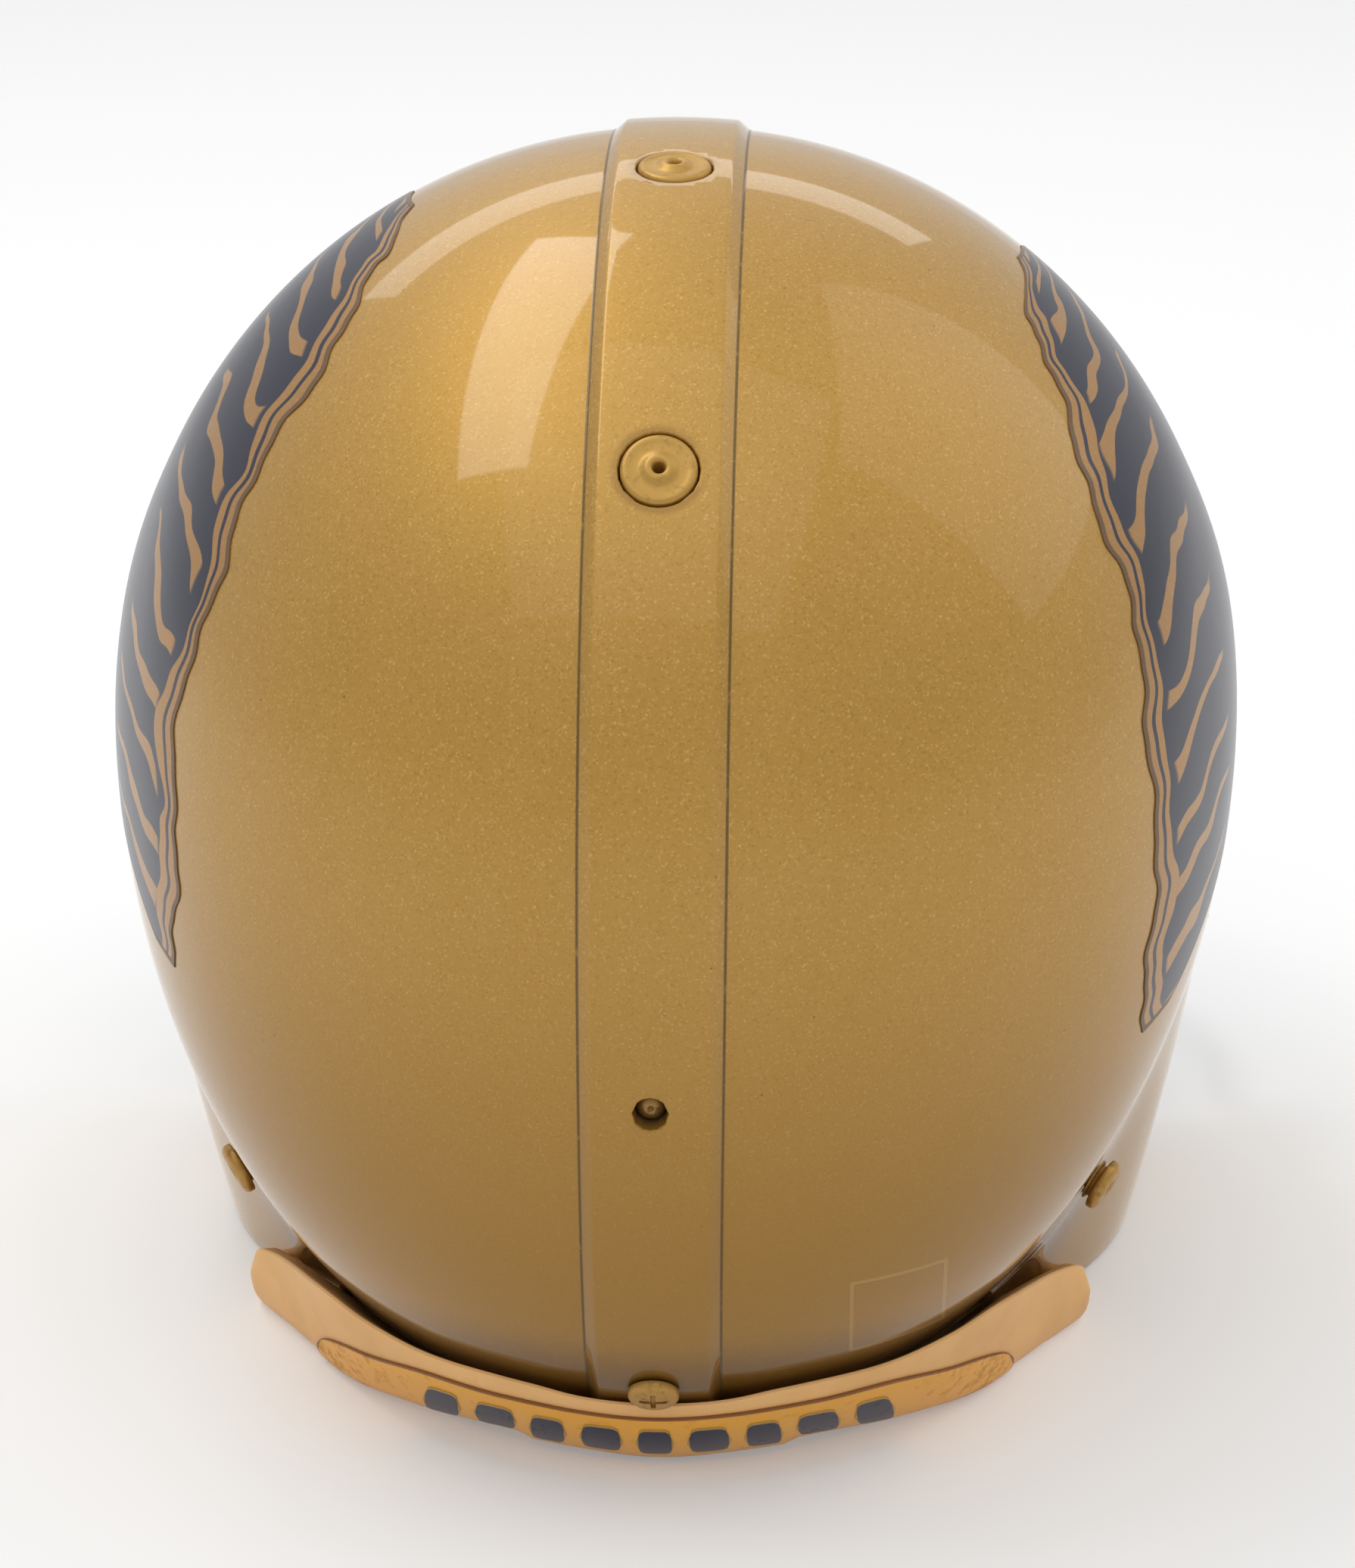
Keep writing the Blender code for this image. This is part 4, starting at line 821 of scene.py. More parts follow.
@dataclass
class Skin:
    """The outer surface of the shell, in polar rings round the width axis.

    An angle of 0 degrees points to the back, 90 to the crown and 180 to the front.
    """

    half_width: float = 0.1145
    widest_height: float = 0.1215
    wall: float = 0.004
    width_power: float = 2.05
    reach_power: float = 2.06
    taper_share: float = 0.057
    taper_softness: float = 0.012
    round_side: float = 0.060
    ridge_lift: float = 0.0018
    reaches: tuple[Pair, ...] = (
        (-72, 0.152), (-45, 0.1475), (-10, 0.136), (28, 0.135), (54, 0.1305), (80, 0.1255), (105, 0.122),
        (132, 0.127), (155, 0.136), (172, 0.160), (190, 0.240), (212, 0.480), (240, 0.430), (265, 0.250))
    rim_shares: tuple[Pair, ...] = (
        (1.25, -0.967), (0.82, -0.966), (0.60, -0.955), (0.40, -0.942), (0.22, -0.956), (0.04, -1),
        (-0.20, -1), (-0.44, -1), (-0.63, -0.938), (-0.755, -0.792), (-0.79, -0.584), (-0.785, -0.396),
        (-0.71, -0.236), (-0.60, -0.1225), (-0.545, 0.0), (-0.555, 0.15), (-0.64, 0.29), (-0.78, 0.38),
        (-0.95, 0.425), (-1.12, 0.445), (-1.40, 0.45))
    rim_steps: int = 12
    knots: np.ndarray = field(init=False)
    nears: np.ndarray = field(init=False)
    bends: np.ndarray = field(init=False)
    mean_nearness: float = field(init=False)
    rim: np.ndarray = field(init=False)

    def __post_init__(self) -> None:
        """Fits the closed spline of nearness and the rim."""
        knots = np.array([angle for angle, _ in self.reaches], dtype=float)
        nears = np.array([1 / reach for _, reach in self.reaches])
        self.knots = np.append(knots, knots[0] + 360)
        self.nears = np.append(nears, nears[0])
        after = np.diff(self.knots)
        before = np.roll(after, 1)
        slopes = np.diff(self.nears) / after
        matrix = np.diag(2 * (before + after)) + np.roll(np.diag(after), 1, axis=1)
        matrix += np.roll(np.diag(before), -1, axis=1)
        bends = np.linalg.solve(matrix, 6 * (slopes - np.roll(slopes, 1)))
        self.bends = np.append(bends, bends[0])
        self.mean_nearness = float(np.mean(nears**self.reach_power))
        self.rim = self.rim_line()

    def nearness(self, angle: np.ndarray) -> np.ndarray:
        """One over the reach at an angle."""
        angle = (np.asarray(angle, dtype=float) - self.knots[0]) % 360 + self.knots[0]
        i = np.clip(np.searchsorted(self.knots, angle, side="right") - 1, 0, len(self.knots) - 2)
        gap = self.knots[i + 1] - self.knots[i]
        ahead = (angle - self.knots[i]) / gap
        back = 1 - ahead
        bend = (ahead**3 - ahead) * self.bends[i + 1] + (back**3 - back) * self.bends[i]
        return ahead * self.nears[i + 1] + back * self.nears[i] + bend * gap * gap / 6

    def tightness(self, angle: np.ndarray, radius: np.ndarray) -> np.ndarray:
        """How fast the side wall turns in at an angle and a radius."""
        here = self.nearness(angle) ** self.reach_power
        return self.mean_nearness + (here - self.mean_nearness) * smooth_step(radius / self.round_side)

    def taper(self, height: np.ndarray) -> np.ndarray:
        """Share of the half width that is left below the widest point."""
        below = self.taper_softness * np.log1p(np.exp(-height / self.taper_softness))
        return 1 - self.taper_share * below / self.half_width

    def at(self, angle: Any, share: Any, depth: Any = 0.0, lift: Any = 0.0) -> np.ndarray:
        """Points of the skin.

        Args:
            angle: Angle in degrees.
            share: Share of the half width.
            depth: Depth in the wall.
            lift: Height over the skin, away from the width axis.

        Returns:
            The points from the middle of the width axis.
        """
        angle, share, depth, lift = np.broadcast_arrays(*(np.asarray(a, float) for a in (angle, share, depth, lift)))
        turn = np.radians(angle)
        room = np.maximum(1 - np.abs(share) ** self.width_power, 0)
        reach = 1 / self.nearness(angle)
        radius = reach * room ** (1 / self.reach_power)
        for _ in range(4):
            radius = (room / self.tightness(angle, radius)) ** (1 / self.reach_power)
        radius = radius * (reach - depth) / reach + lift
        height = radius * np.sin(turn)
        across = (self.half_width - depth) * self.taper(height) * share
        return np.stack((across, radius * np.cos(turn), height), axis=-1)

    def over(self, angle: Any, across: Any, depth: Any = 0.0, lift: Any = 0.0) -> np.ndarray:
        """Points at an angle and a distance from the median plane.

        Args:
            angle: Angle in degrees.
            across: Distance towards the wearer's left.
            depth: Depth in the wall.
            lift: Height over the skin.

        Returns:
            The points.
        """
        angle, across = np.broadcast_arrays(np.asarray(angle, float), np.asarray(across, float))
        share = across / self.half_width
        for _ in range(7):
            share = share + (across - self.at(angle, share, depth, lift)[..., 0]) / self.half_width
        return self.at(angle, share, depth, lift)

    def beside(self, back: Any, height: Any, side: int, depth: Any = 0.0) -> np.ndarray:
        """Points of a side wall.

        Args:
            back: Distance behind the widest point.
            height: Height over it.
            side: 1 for the wearer's left, -1 for the right.
            depth: Depth in the wall.

        Returns:
            The points.
        """
        back, height, depth = np.broadcast_arrays(*(np.asarray(a, float) for a in (back, height, depth)))
        angle = np.degrees(np.arctan2(height, back))
        radius = np.hypot(back, height)
        reach = 1 / self.nearness(angle)
        grown = radius * reach / (reach - depth)
        room = np.minimum(self.tightness(angle, grown) * grown**self.reach_power, 1)
        share = (1 - room) ** (1 / self.width_power)
        return np.stack((side * (self.half_width - depth) * self.taper(height) * share, back, height), axis=-1)

    def facing_over(self, angle: Any, across: Any, probe: float = 0.0005) -> np.ndarray:
        """Directions out of the skin at an angle and a distance across."""
        turn = math.degrees(probe / 0.125)
        ahead = self.over(np.asarray(angle) + turn, across) - self.over(np.asarray(angle) - turn, across)
        aside = self.over(angle, np.asarray(across) + probe) - self.over(angle, np.asarray(across) - probe)
        out = np.cross(ahead, aside)
        out *= np.sign(np.sum(out * self.over(angle, across), axis=-1, keepdims=True))
        return out / np.linalg.norm(out, axis=-1, keepdims=True)

    def facing_beside(self, back: Any, height: Any, side: int, probe: float = 0.0005) -> np.ndarray:
        """Directions out of a side wall."""
        back, height = np.asarray(back, float), np.asarray(height, float)
        aback = self.beside(back + probe, height, side) - self.beside(back - probe, height, side)
        upward = self.beside(back, height + probe, side) - self.beside(back, height - probe, side)
        out = np.cross(aback, upward)
        out *= np.sign(out[..., :1] * side)
        return out / np.linalg.norm(out, axis=-1, keepdims=True)

    def fullness(self, points: np.ndarray) -> np.ndarray:
        """A number that is 1 on the skin, and grows outwards."""
        angle = np.degrees(np.arctan2(points[..., 2], points[..., 1]))
        radius = np.hypot(points[..., 1], points[..., 2])
        share = np.abs(points[..., 0]) / (self.half_width * self.taper(points[..., 2]))
        return share**self.width_power + self.tightness(angle, radius) * radius**self.reach_power

    def outward(self, points: np.ndarray, probe: float = 0.0002) -> np.ndarray:
        """Directions out of the skin at its points.

        Args:
            points: Points from the middle of the width axis.
            probe: Distance at which the skin's numbers are compared.

        Returns:
            The directions.
        """
        steps = np.eye(3) * probe
        slope = np.stack([self.fullness(points + step) - self.fullness(points - step) for step in steps], axis=-1)
        return slope / np.linalg.norm(slope, axis=-1, keepdims=True)

    def level(self, across: np.ndarray, height: np.ndarray) -> np.ndarray:
        """Angles of the points low on the back at a distance across and a height."""
        across, height = np.broadcast_arrays(np.asarray(across, float), np.asarray(height, float))
        angle = np.degrees(np.arcsin(np.clip(height / 0.145, -1, 1)))
        for _ in range(5):
            here = self.over(angle, across)[..., 2]
            slope = (self.over(angle + 0.2, across)[..., 2] - here) / 0.2
            angle = np.clip(angle + (height - here) / slope, -84, 10)
        return angle

    def seat(self, point: np.ndarray, out: np.ndarray, along: Sequence[float], lift: float = 0.0) -> Matrix:
        """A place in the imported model's frame.

        Args:
            point: Point from the middle of the width axis.
            out: Direction of the place's Z.
            along: Direction that its X follows.
            lift: Distance moved along Z.

        Returns:
            The place's matrix.
        """
        z = Vector(out).normalized()
        x = Vector(along)
        x = (x - x.dot(z) * z).normalized()
        turned = Matrix((x, z.cross(x), z)).transposed().to_4x4()
        return Matrix.Translation(Vector(point + ORIGIN) + z * lift) @ turned

    def seat_over(self, angle: float, across: float, lift: float = 0.0, along: Sequence[float] = (1, 0, 0)) -> Matrix:
        """A place on the crown, back or brow."""
        return self.seat(self.over(angle, across), self.facing_over(angle, across), along, lift)

    def seat_beside(self, back: float, height: float, side: int, along: Sequence[float] = (0, 1, 0)) -> Matrix:
        """A place on a side wall."""
        return self.seat(self.beside(back, height, side), self.facing_beside(back, height, side), along)

    def rim_line(self) -> np.ndarray:
        """The rim seen from the side, as points behind and above the widest point."""
        spots = np.array([(back * self.half_width, height * (self.widest_height if height < 0 else self.half_width))
                          for back, height in self.rim_shares])
        line = smooth_path(spots, self.rim_steps)
        line[:, 1] = np.maximum(line[:, 1], -self.widest_height)
        return line

    def rim_height(self, back: np.ndarray, front: bool) -> np.ndarray:
        """Height of the brow or nape stretch of the rim at a distance behind the widest point."""
        rim = self.rim
        keep = (rim[:, 0] < -self.widest_height / 2) & (rim[:, 1] > 0) if front else rim[:, 0] > 0
        stretch = rim[keep & (rim[:, 1] > 0)] if front else rim[keep]
        stretch = stretch[np.argsort(stretch[:, 0])]
        return np.interp(back, stretch[:, 0], stretch[:, 1])

    def rim_angle(self, across: Any, front: bool) -> np.ndarray:
        """Angle at which the skin crosses the rim at a distance across."""
        across = np.atleast_1d(np.asarray(across, float))
        low = np.full(across.shape, 140.0 if front else -78.0)
        high = np.full(across.shape, 175.0 if front else -30.0)
        for _ in range(30):
            middle = (low + high) / 2
            point = self.over(middle, across)
            above = point[..., 2] > self.rim_height(point[..., 1], front)
            rise = above == front
            low = np.where(rise, middle, low)
            high = np.where(rise, high, middle)
        return (low + high) / 2

    def inner_drop(self, seat: Matrix, radius: float) -> float:
        """Depth under a seat of the inner skin, at its deepest round a ring of this radius."""
        turn = np.arange(8) * math.pi / 4
        rows = np.array([seat @ Vector((radius * math.cos(t), radius * math.sin(t), 0)) for t in turn]) - ORIGIN
        if abs(seat.translation.x) < 0.7 * self.half_width:
            walls = self.over(np.degrees(np.arctan2(rows[:, 2], rows[:, 1])), rows[:, 0], self.wall)
        else:
            walls = self.beside(rows[:, 1], rows[:, 2], int(math.copysign(1, seat.translation.x)), self.wall)
        back = seat.inverted()
        return max(-(back @ Vector(wall + ORIGIN)).z for wall in walls)


def smooth_path(points: np.ndarray, steps: int) -> np.ndarray:
    """Points along a smooth open curve through the given ones.

    Args:
        points: The points to pass.
        steps: Steps between each two.

    Returns:
        The points of the curve.
    """
    points = np.asarray(points, float)
    lengths = np.linalg.norm(np.diff(points, axis=0), axis=1)
    speeds = np.diff(points, axis=0) / lengths[:, None]
    before, after = lengths[:-1, None], lengths[1:, None]
    leans = [speeds[0], *((speeds[:-1] * after + speeds[1:] * before) / (before + after)), speeds[-1]]
    path = []
    for i, length in enumerate(lengths):
        for k in range(steps):
            t = k / steps
            bulge = leans[i] * (t**3 - 2 * t**2 + t) + leans[i + 1] * (t**3 - t**2)
            path.append(points[i] + (points[i + 1] - points[i]) * (3 * t**2 - 2 * t**3) + bulge * length)
    path.append(points[-1])
    return np.array(path)


SKIN = Skin()


# ---- shell


@dataclass
class Hole:
    """A round hole through the shell."""

    seat: Matrix
    radius: float
    rounding: float

    def clearance(self, points: np.ndarray) -> np.ndarray:
        """Distance of points outside the rounded edge of the hole."""
        centre = np.array(self.seat.translation) - ORIGIN
        out = np.array(self.seat.to_3x3() @ Vector((0, 0, 1)))
        arm = points - centre
        along = arm @ out
        across = np.linalg.norm(arm - along[..., None] * out, axis=-1)
        return np.where(np.abs(along) < 0.03, across - self.radius - self.rounding, 1.0)


@dataclass
class Shell:
    """The moulded shell with its raised ridge, rounded rim and holes.

    No operator lays a grid on the skin's formula, so the grid is made face by face and cut at the openings.
    """

    rings: int = 360
    side_columns: int = 62
    rim_rounding: float = 0.0013
    snap: float = 0.0006
    ridge: tuple[Pair, ...] = (
        (0.0, 1.8), (1.6, 1.8), (3.2, 1.8), (4.8, 1.8), (6.4, 1.8), (8.0, 1.8), (9.6, 1.8), (10.8, 1.8),
        (11.1, 1.77), (11.35, 1.66), (12.3, 0.93), (13.15, 0.22), (13.35, 0.06), (13.5, 0.0), (13.9, 0.0),
        (15.0, 0.0))
    valve_radius: float = 0.0075
    rivet_radius: float = 0.0033
    ear: Pair = (-0.004, -0.026)
    ear_radius: float = 0.015

    def holes(self) -> list[Hole]:
        """The holes that show."""
        found = [Hole(SKIN.seat_over(angle, 0), self.valve_radius, 0.0005) for angle in VALVE_ANGLES.values()]
        found.append(Hole(SKIN.seat_over(BackRivet.angle, 0), self.rivet_radius, 0.0006))
        return found + [Hole(SKIN.seat_beside(*self.ear, side), self.ear_radius, self.rim_rounding)
                        for side in (-1, 1)]

    def rim_clearance(self, points: np.ndarray) -> np.ndarray:
        """Distance of points above the rim, negative in the openings.

        Args:
            points: Points from the middle of the width axis.

        Returns:
            The distances, less the rim's rounding.
        """
        rim = SKIN.rim
        outline = np.vstack((rim, ((-0.6, rim[-1, 1]), (-0.6, -0.6), (0.6, -0.6), (0.6, rim[0, 1]))))
        flat = points[..., 1:].reshape(-1, 2)
        inside = np.zeros(len(flat), dtype=bool)
        nearest = np.full(len(flat), 1.0)
        for k in range(len(outline)):
            a, b = outline[k], outline[(k + 1) % len(outline)]
            crossing = (a[1] > flat[:, 1]) != (b[1] > flat[:, 1])
            if a[1] != b[1]:
                at = a[0] + (flat[:, 1] - a[1]) * (b[0] - a[0]) / (b[1] - a[1])
                inside ^= crossing & (flat[:, 0] < at)
            along = b - a
            share = np.clip(((flat - a) @ along) / (along @ along), 0, 1)
            nearest = np.minimum(nearest, np.linalg.norm(flat - a - share[:, None] * along, axis=1))
        signed = np.where(inside, -nearest, nearest) - self.rim_rounding
        return signed.reshape(points.shape[:-1])

    def clearance(self, points: np.ndarray) -> tuple[np.ndarray, np.ndarray]:
        """Distance to the nearest opening and the rounding of its edge.

        Args:
            points: Points from the middle of the width axis.

        Returns:
            The distances and the roundings.
        """
        nearest = self.rim_clearance(points)
        rounding = np.full(nearest.shape, self.rim_rounding)
        for hole in self.holes():
            away = hole.clearance(points)
            rounding = np.where(away < nearest, hole.rounding, rounding)
            nearest = np.minimum(nearest, away)
        return nearest, rounding

    def columns(self) -> tuple[np.ndarray, np.ndarray]:
        """Shares of the half width of the grid's columns, and their lifts."""
        half = [(across / 1000 / SKIN.half_width, lift / 1000) for across, lift in self.ridge]
        edge = math.acos(half[-1][0])
        for k in range(1, self.side_columns + 1):
            half.append((math.cos(edge * (1 - k / (self.side_columns + 1))), 0.0))
        whole = [(-share, lift) for share, lift in reversed(half[1:])] + half
        return np.array([share for share, _ in whole]), np.array([lift for _, lift in whole])

    def cut_grid(self) -> tuple[np.ndarray, np.ndarray, list[tuple[int, ...]]]:
        """Lays the grid and cuts it at the openings.

        Returns:
            The angle, share and lift of each point; the points; the faces.
        """
        shares, lifts = self.columns()
        angles = -90 + 360 * np.arange(self.rings) / self.rings
        count = len(shares)
        grid = np.stack(np.broadcast_arrays(angles[:, None], shares[None], lifts[None]), axis=-1).reshape(-1, 3)
        poles = np.array(((0, -1, 0), (0, 1, 0)), float)
        known = np.vstack((grid, poles))
        places = SKIN.at(known[:, 0], known[:, 1], 0, known[:, 2])
        clear, _ = self.clearance(places)
        ids = np.arange(self.rings * count).reshape(self.rings, count)
        after = np.roll(ids, -1, axis=0)
        edges = np.vstack((
            np.stack((ids.ravel(), after.ravel()), axis=1),
            np.stack((ids[:, :-1].ravel(), ids[:, 1:].ravel()), axis=1),
        ))
        cut = edges[(clear[edges[:, 0]] > 0) != (clear[edges[:, 1]] > 0)]
        swap = clear[cut[:, 0]] <= 0
        kept = np.where(swap, cut[:, 1], cut[:, 0])
        lost = np.where(swap, cut[:, 0], cut[:, 1])
        start, end = known[kept].copy(), known[lost].copy()
        wrapped = np.abs(start[:, 0] - end[:, 0]) > 180
        end[wrapped, 0] += 360 * np.sign(start[wrapped, 0] - end[wrapped, 0])
        low, high = np.zeros(len(cut)), np.ones(len(cut))
        for _ in range(16):
            middle = (low + high) / 2
            trial = start + (end - start) * middle[:, None]
            good = self.clearance(SKIN.at(trial[:, 0], trial[:, 1], 0, trial[:, 2]))[0] > 0
            low, high = np.where(good, middle, low), np.where(good, high, middle)
        crossing = start + (end - start) * low[:, None]
        spots = SKIN.at(crossing[:, 0], crossing[:, 1], 0, crossing[:, 2])
        near_kept = np.linalg.norm(spots - places[kept], axis=1)
        near_lost = np.linalg.norm(spots - places[lost], axis=1)
        corner = {}
        extra = []
        for k, (a, b) in enumerate(zip(kept, lost)):
            if near_kept[k] < self.snap:
                known[a] = crossing[k]
                corner[int(a), int(b)] = int(a)
            elif near_lost[k] < self.snap:
                known[b] = crossing[k]
                corner[int(a), int(b)] = int(b)
            else:
                corner[int(a), int(b)] = len(known) + len(extra)
                extra.append(crossing[k])
        known = np.vstack((known, np.array(extra)))
        faces = []
        clear_list = clear.tolist()

        def clip(cell: tuple[int, ...]) -> None:
            """Keeps the part of a cell that lies outside the openings."""
            ring: list[int] = []
            for a, b in zip(cell, cell[1:] + cell[:1]):
                if clear_list[a] > 0:
                    ring.append(a)
                if (clear_list[a] > 0) != (clear_list[b] > 0):
                    ring.append(corner[(a, b) if clear_list[a] > 0 else (b, a)])
            ring = [spot for i, spot in enumerate(ring) if spot != ring[i - 1]]
            if len(set(ring)) >= 3:
                faces.append(tuple(dict.fromkeys(ring)))

        low_pole, high_pole = len(grid), len(grid) + 1
        rows = ids.tolist()
        for i in range(self.rings):
            here, there = rows[i], rows[(i + 1) % self.rings]
            clip((low_pole, there[0], here[0]))
            clip((high_pole, here[-1], there[-1]))
            for j in range(count - 1):
                clip((here[j], there[j], there[j + 1], here[j + 1]))
        used = np.unique(np.concatenate([np.array(face) for face in faces]))
        order = np.full(len(known), -1)
        order[used] = np.arange(len(used))
        faces = [tuple(int(order[spot]) for spot in face) for face in faces]
        known = known[used]
        return known, SKIN.at(known[:, 0], known[:, 1], 0, known[:, 2]), faces

    def build(self) -> None:
        """Builds and dresses the shell."""
        known, outer, faces = self.cut_grid()
        base = SKIN.at(known[:, 0], known[:, 1], 0, 0)
        out = SKIN.outward(base)
        corners = outer[np.array([face[:3] for face in faces])]
        facing = np.cross(corners[:, 1] - corners[:, 0], corners[:, 2] - corners[:, 0])
        if np.sum(facing * corners[:, 0]) < 0:
            faces = [tuple(reversed(face)) for face in faces]
        inner = base - out * SKIN.wall
        count = len(outer)
        sides = {(a, b) for face in faces for a, b in zip(face, face[1:] + face[:1])}
        follows = {a: b for a, b in sides if (b, a) not in sides}
        leads = {b: a for a, b in follows.items()}
        border = [spot for spot in follows if spot in leads]
        number = {spot: k for k, spot in enumerate(border)}
        picked = np.array(border)
        ahead = outer[[follows[spot] for spot in border]] - outer[[leads[spot] for spot in border]]
        ahead /= np.linalg.norm(ahead, axis=1, keepdims=True)
        away = np.cross(ahead, out[picked])
        rounding = self.clearance(outer[picked])[1][:, None]
        rows = [outer[picked] + away * rounding * math.sin(t) - out[picked] * rounding * (1 - math.cos(t))
                for t in np.radians((22, 45, 67, 90))]
        rows += [inner[picked] + away * rounding * math.sin(t) + out[picked] * rounding * (1 - math.cos(t))
                 for t in np.radians((90, 67, 45, 22))]
        points = np.vstack((outer, inner, *rows)) + ORIGIN
        points[:, 2] = np.maximum(points[:, 2], 0)
        whole = list(faces) + [tuple(spot + count for spot in reversed(face)) for face in faces]
        width = len(border)
        for a, b in follows.items():
            if a not in number or b not in number:
                continue
            first = [a] + [2 * count + row * width + number[a] for row in range(len(rows))] + [a + count]
            second = [b] + [2 * count + row * width + number[b] for row in range(len(rows))] + [b + count]
            for k in range(len(first) - 1):
                whole.append((second[k], first[k], first[k + 1], second[k + 1]))
        mesh = bpy.data.meshes.new("shell_body")
        mesh.from_pydata(points.tolist(), [], whole)
        shell = bpy.data.objects.new(mesh.name, mesh)
        bpy.context.scene.collection.objects.link(shell)
        edge = np.maximum(self.clearance(outer)[0], 0) * 1000
        across = known[:, 1] * SKIN.half_width * 1000
        # nape and rise: height over the nape rim, which places the painted shade above the rear bumper.
        nape = SKIN.rim_height(outer[:, 1], False)
        rise = np.where(outer[:, 1] > 0, (outer[:, 2] - nape) * 1000, 100)
        repeat = np.tile(picked, len(rows))
        half = len(rows) // 2 * width
        Bench.carry(shell, "edge", np.concatenate((edge, edge, np.zeros(len(repeat)))))
        Bench.carry(shell, "across", np.concatenate((across, across + 40, across[repeat])))
        Bench.carry(shell, "rise", np.concatenate((rise, rise, rise[repeat])))
        Bench.carry(shell, "inner", np.concatenate((
            np.zeros(count), np.ones(count), np.zeros(half), np.ones(len(repeat) - half))))
        Bench.smooth(shell, 60)
        Bench.dress(shell, "shell", "shell_gold", "helmet", "shell")


# ---- fittings


@dataclass(frozen=True)
class Nut:
    """Any nut inside the wall."""

    radius: float = 0.0055
    thickness: float = 0.0012

    def stack(self, seat: Matrix, between: float = 0.0001) -> float:
        """Depth of a shank's end under its seat, with this much between the wall and the nut."""
        return SKIN.inner_drop(seat, self.radius) + between + self.thickness


NUT = Nut()


@dataclass
class AirValve:
    """Rubber air valve, flush in the ridge, with a raised lip round its needle hole."""

    name: str
    angle: float
    radius: float = 0.0071
    flange_radius: float = 0.0100
    flange: float = 0.0012
    under: float = 0.0006
    lip_radius: float = 0.0026
    needle: float = 0.0011

    def build(self) -> None:
        """Builds and dresses the valve."""
        seat = SKIN.seat_over(self.angle, 0, SKIN.ridge_lift)
        low = -SKIN.inner_drop(seat, self.flange_radius) - self.under
        r, lip, hole = self.radius, self.lip_radius, self.needle
        profile = (
            (0, low - self.flange), (self.flange_radius - 0.0003, low - self.flange),
            (self.flange_radius, low - self.flange + 0.0003), (self.flange_radius, low), (r, low), (r, -0.0006),
            (r - 0.0002, -0.00005), (r - 0.0006, 0.00025), (r - 0.0012, 0.0003), (r - 0.0016, 0.00012),
            (lip + 0.0014, 0.0001), (lip + 0.0008, 0.00025), (lip + 0.0002, 0.0007), (lip - 0.0004, 0.0010),
            (lip - 0.0010, 0.0010), (hole + 0.0002, 0.0007), (hole, 0.0002), (hole * 0.8, -0.004), (0, -0.0045))
        piece = Bench.smooth(Bench.lathe(f"{self.name}_rubber", profile, seat, 64), 50)
        Bench.dress(piece, "valve", "valve_gold", "helmet", self.name)


@dataclass
class BackRivet:
    """Domed rivet with a dimple at the bottom of the low hole."""

    angle: float = -12.2
    radius: float = 0.0028
    depth: float = 0.0040
    dome: float = 0.0017
    flange_radius: float = 0.0060
    flange: float = 0.0012
    under: float = 0.0006

    def build(self) -> None:
        """Builds and dresses the rivet."""
        seat = SKIN.seat_over(self.angle, 0, SKIN.ridge_lift)
        low = -SKIN.inner_drop(seat, self.flange_radius) - self.under
        dome = [(self.radius * math.cos(t), -self.depth + self.dome * math.sin(t))
                for t in np.radians((0, 15, 30, 45, 60, 72))]
        dimple = [(self.radius * 0.22, dome[-1][1] - 0.00002), (self.radius * 0.10, dome[-1][1] - 0.0004),
                  (0, dome[-1][1] - 0.0005)]
        profile = [(0, low - self.flange), (self.flange_radius, low - self.flange), (self.flange_radius, low),
                   (self.radius, low), *dome, *dimple]
        piece = Bench.smooth(Bench.lathe("back_rivet_head", profile, seat, 48), 50)
        Bench.dress(piece, "rivet", "brass_rivet", "helmet", "back_rivet")


@dataclass
class PanScrew:
    """Pan-head screw with a cross recess."""

    name: str
    seat: Matrix
    lift: float
    stack: float
    finish: str
    slot: str
    radius: float = 0.0050
    head: float = 0.0026
    shank: float = 0.0024
    arm: float = 0.0027
    blade: float = 0.0010
    recess: float = 0.0013

    def build(self) -> None:
        """Builds and dresses the screw."""
        r, lift, head = self.radius, self.lift, self.head
        dome = [(r * (0.62 + 0.38 * math.cos(t)), lift + head * (0.28 + 0.56 * math.sin(t)))
                for t in np.radians((0, 18, 36, 54, 72, 90))]
        profile = [(0, -self.stack), (self.shank, -self.stack), (self.shank, lift), (r - 0.0002, lift),
                   (r, lift + 0.0002), *dome, (r * 0.36, lift + head * 0.92), (0, lift + head * 0.97)]
        piece = Bench.lathe(f"{self.name}_body", profile, Matrix.Identity(4), 56)
        tools = []
        for turn in (0, math.pi / 2):
            Bench.clear()
            bpy.ops.mesh.primitive_cube_add(size=1, location=(0, 0, lift + head), rotation=(0, 0, turn))
            tool = Bench.named("recess_tool")
            tool.scale = (self.arm * 2, self.blade, self.recess * 2)
            bpy.ops.object.transform_apply(location=True, rotation=True, scale=True)
            bpy.ops.object.mode_set(mode="EDIT")
            bpy.ops.mesh.bevel(offset=self.blade * 0.28, segments=2, affect="EDGES")
            bpy.ops.object.mode_set(mode="OBJECT")
            tools.append(tool)
        for tool in tools:
            Bench.modifier(piece, "BOOLEAN", operation="DIFFERENCE", solver="EXACT", object=tool)
            bpy.data.objects.remove(tool, do_unlink=True)
        Bench.smooth(Bench.settle(piece, self.seat), 35)
        Bench.dress(piece, self.finish, self.slot, "helmet", self.name)


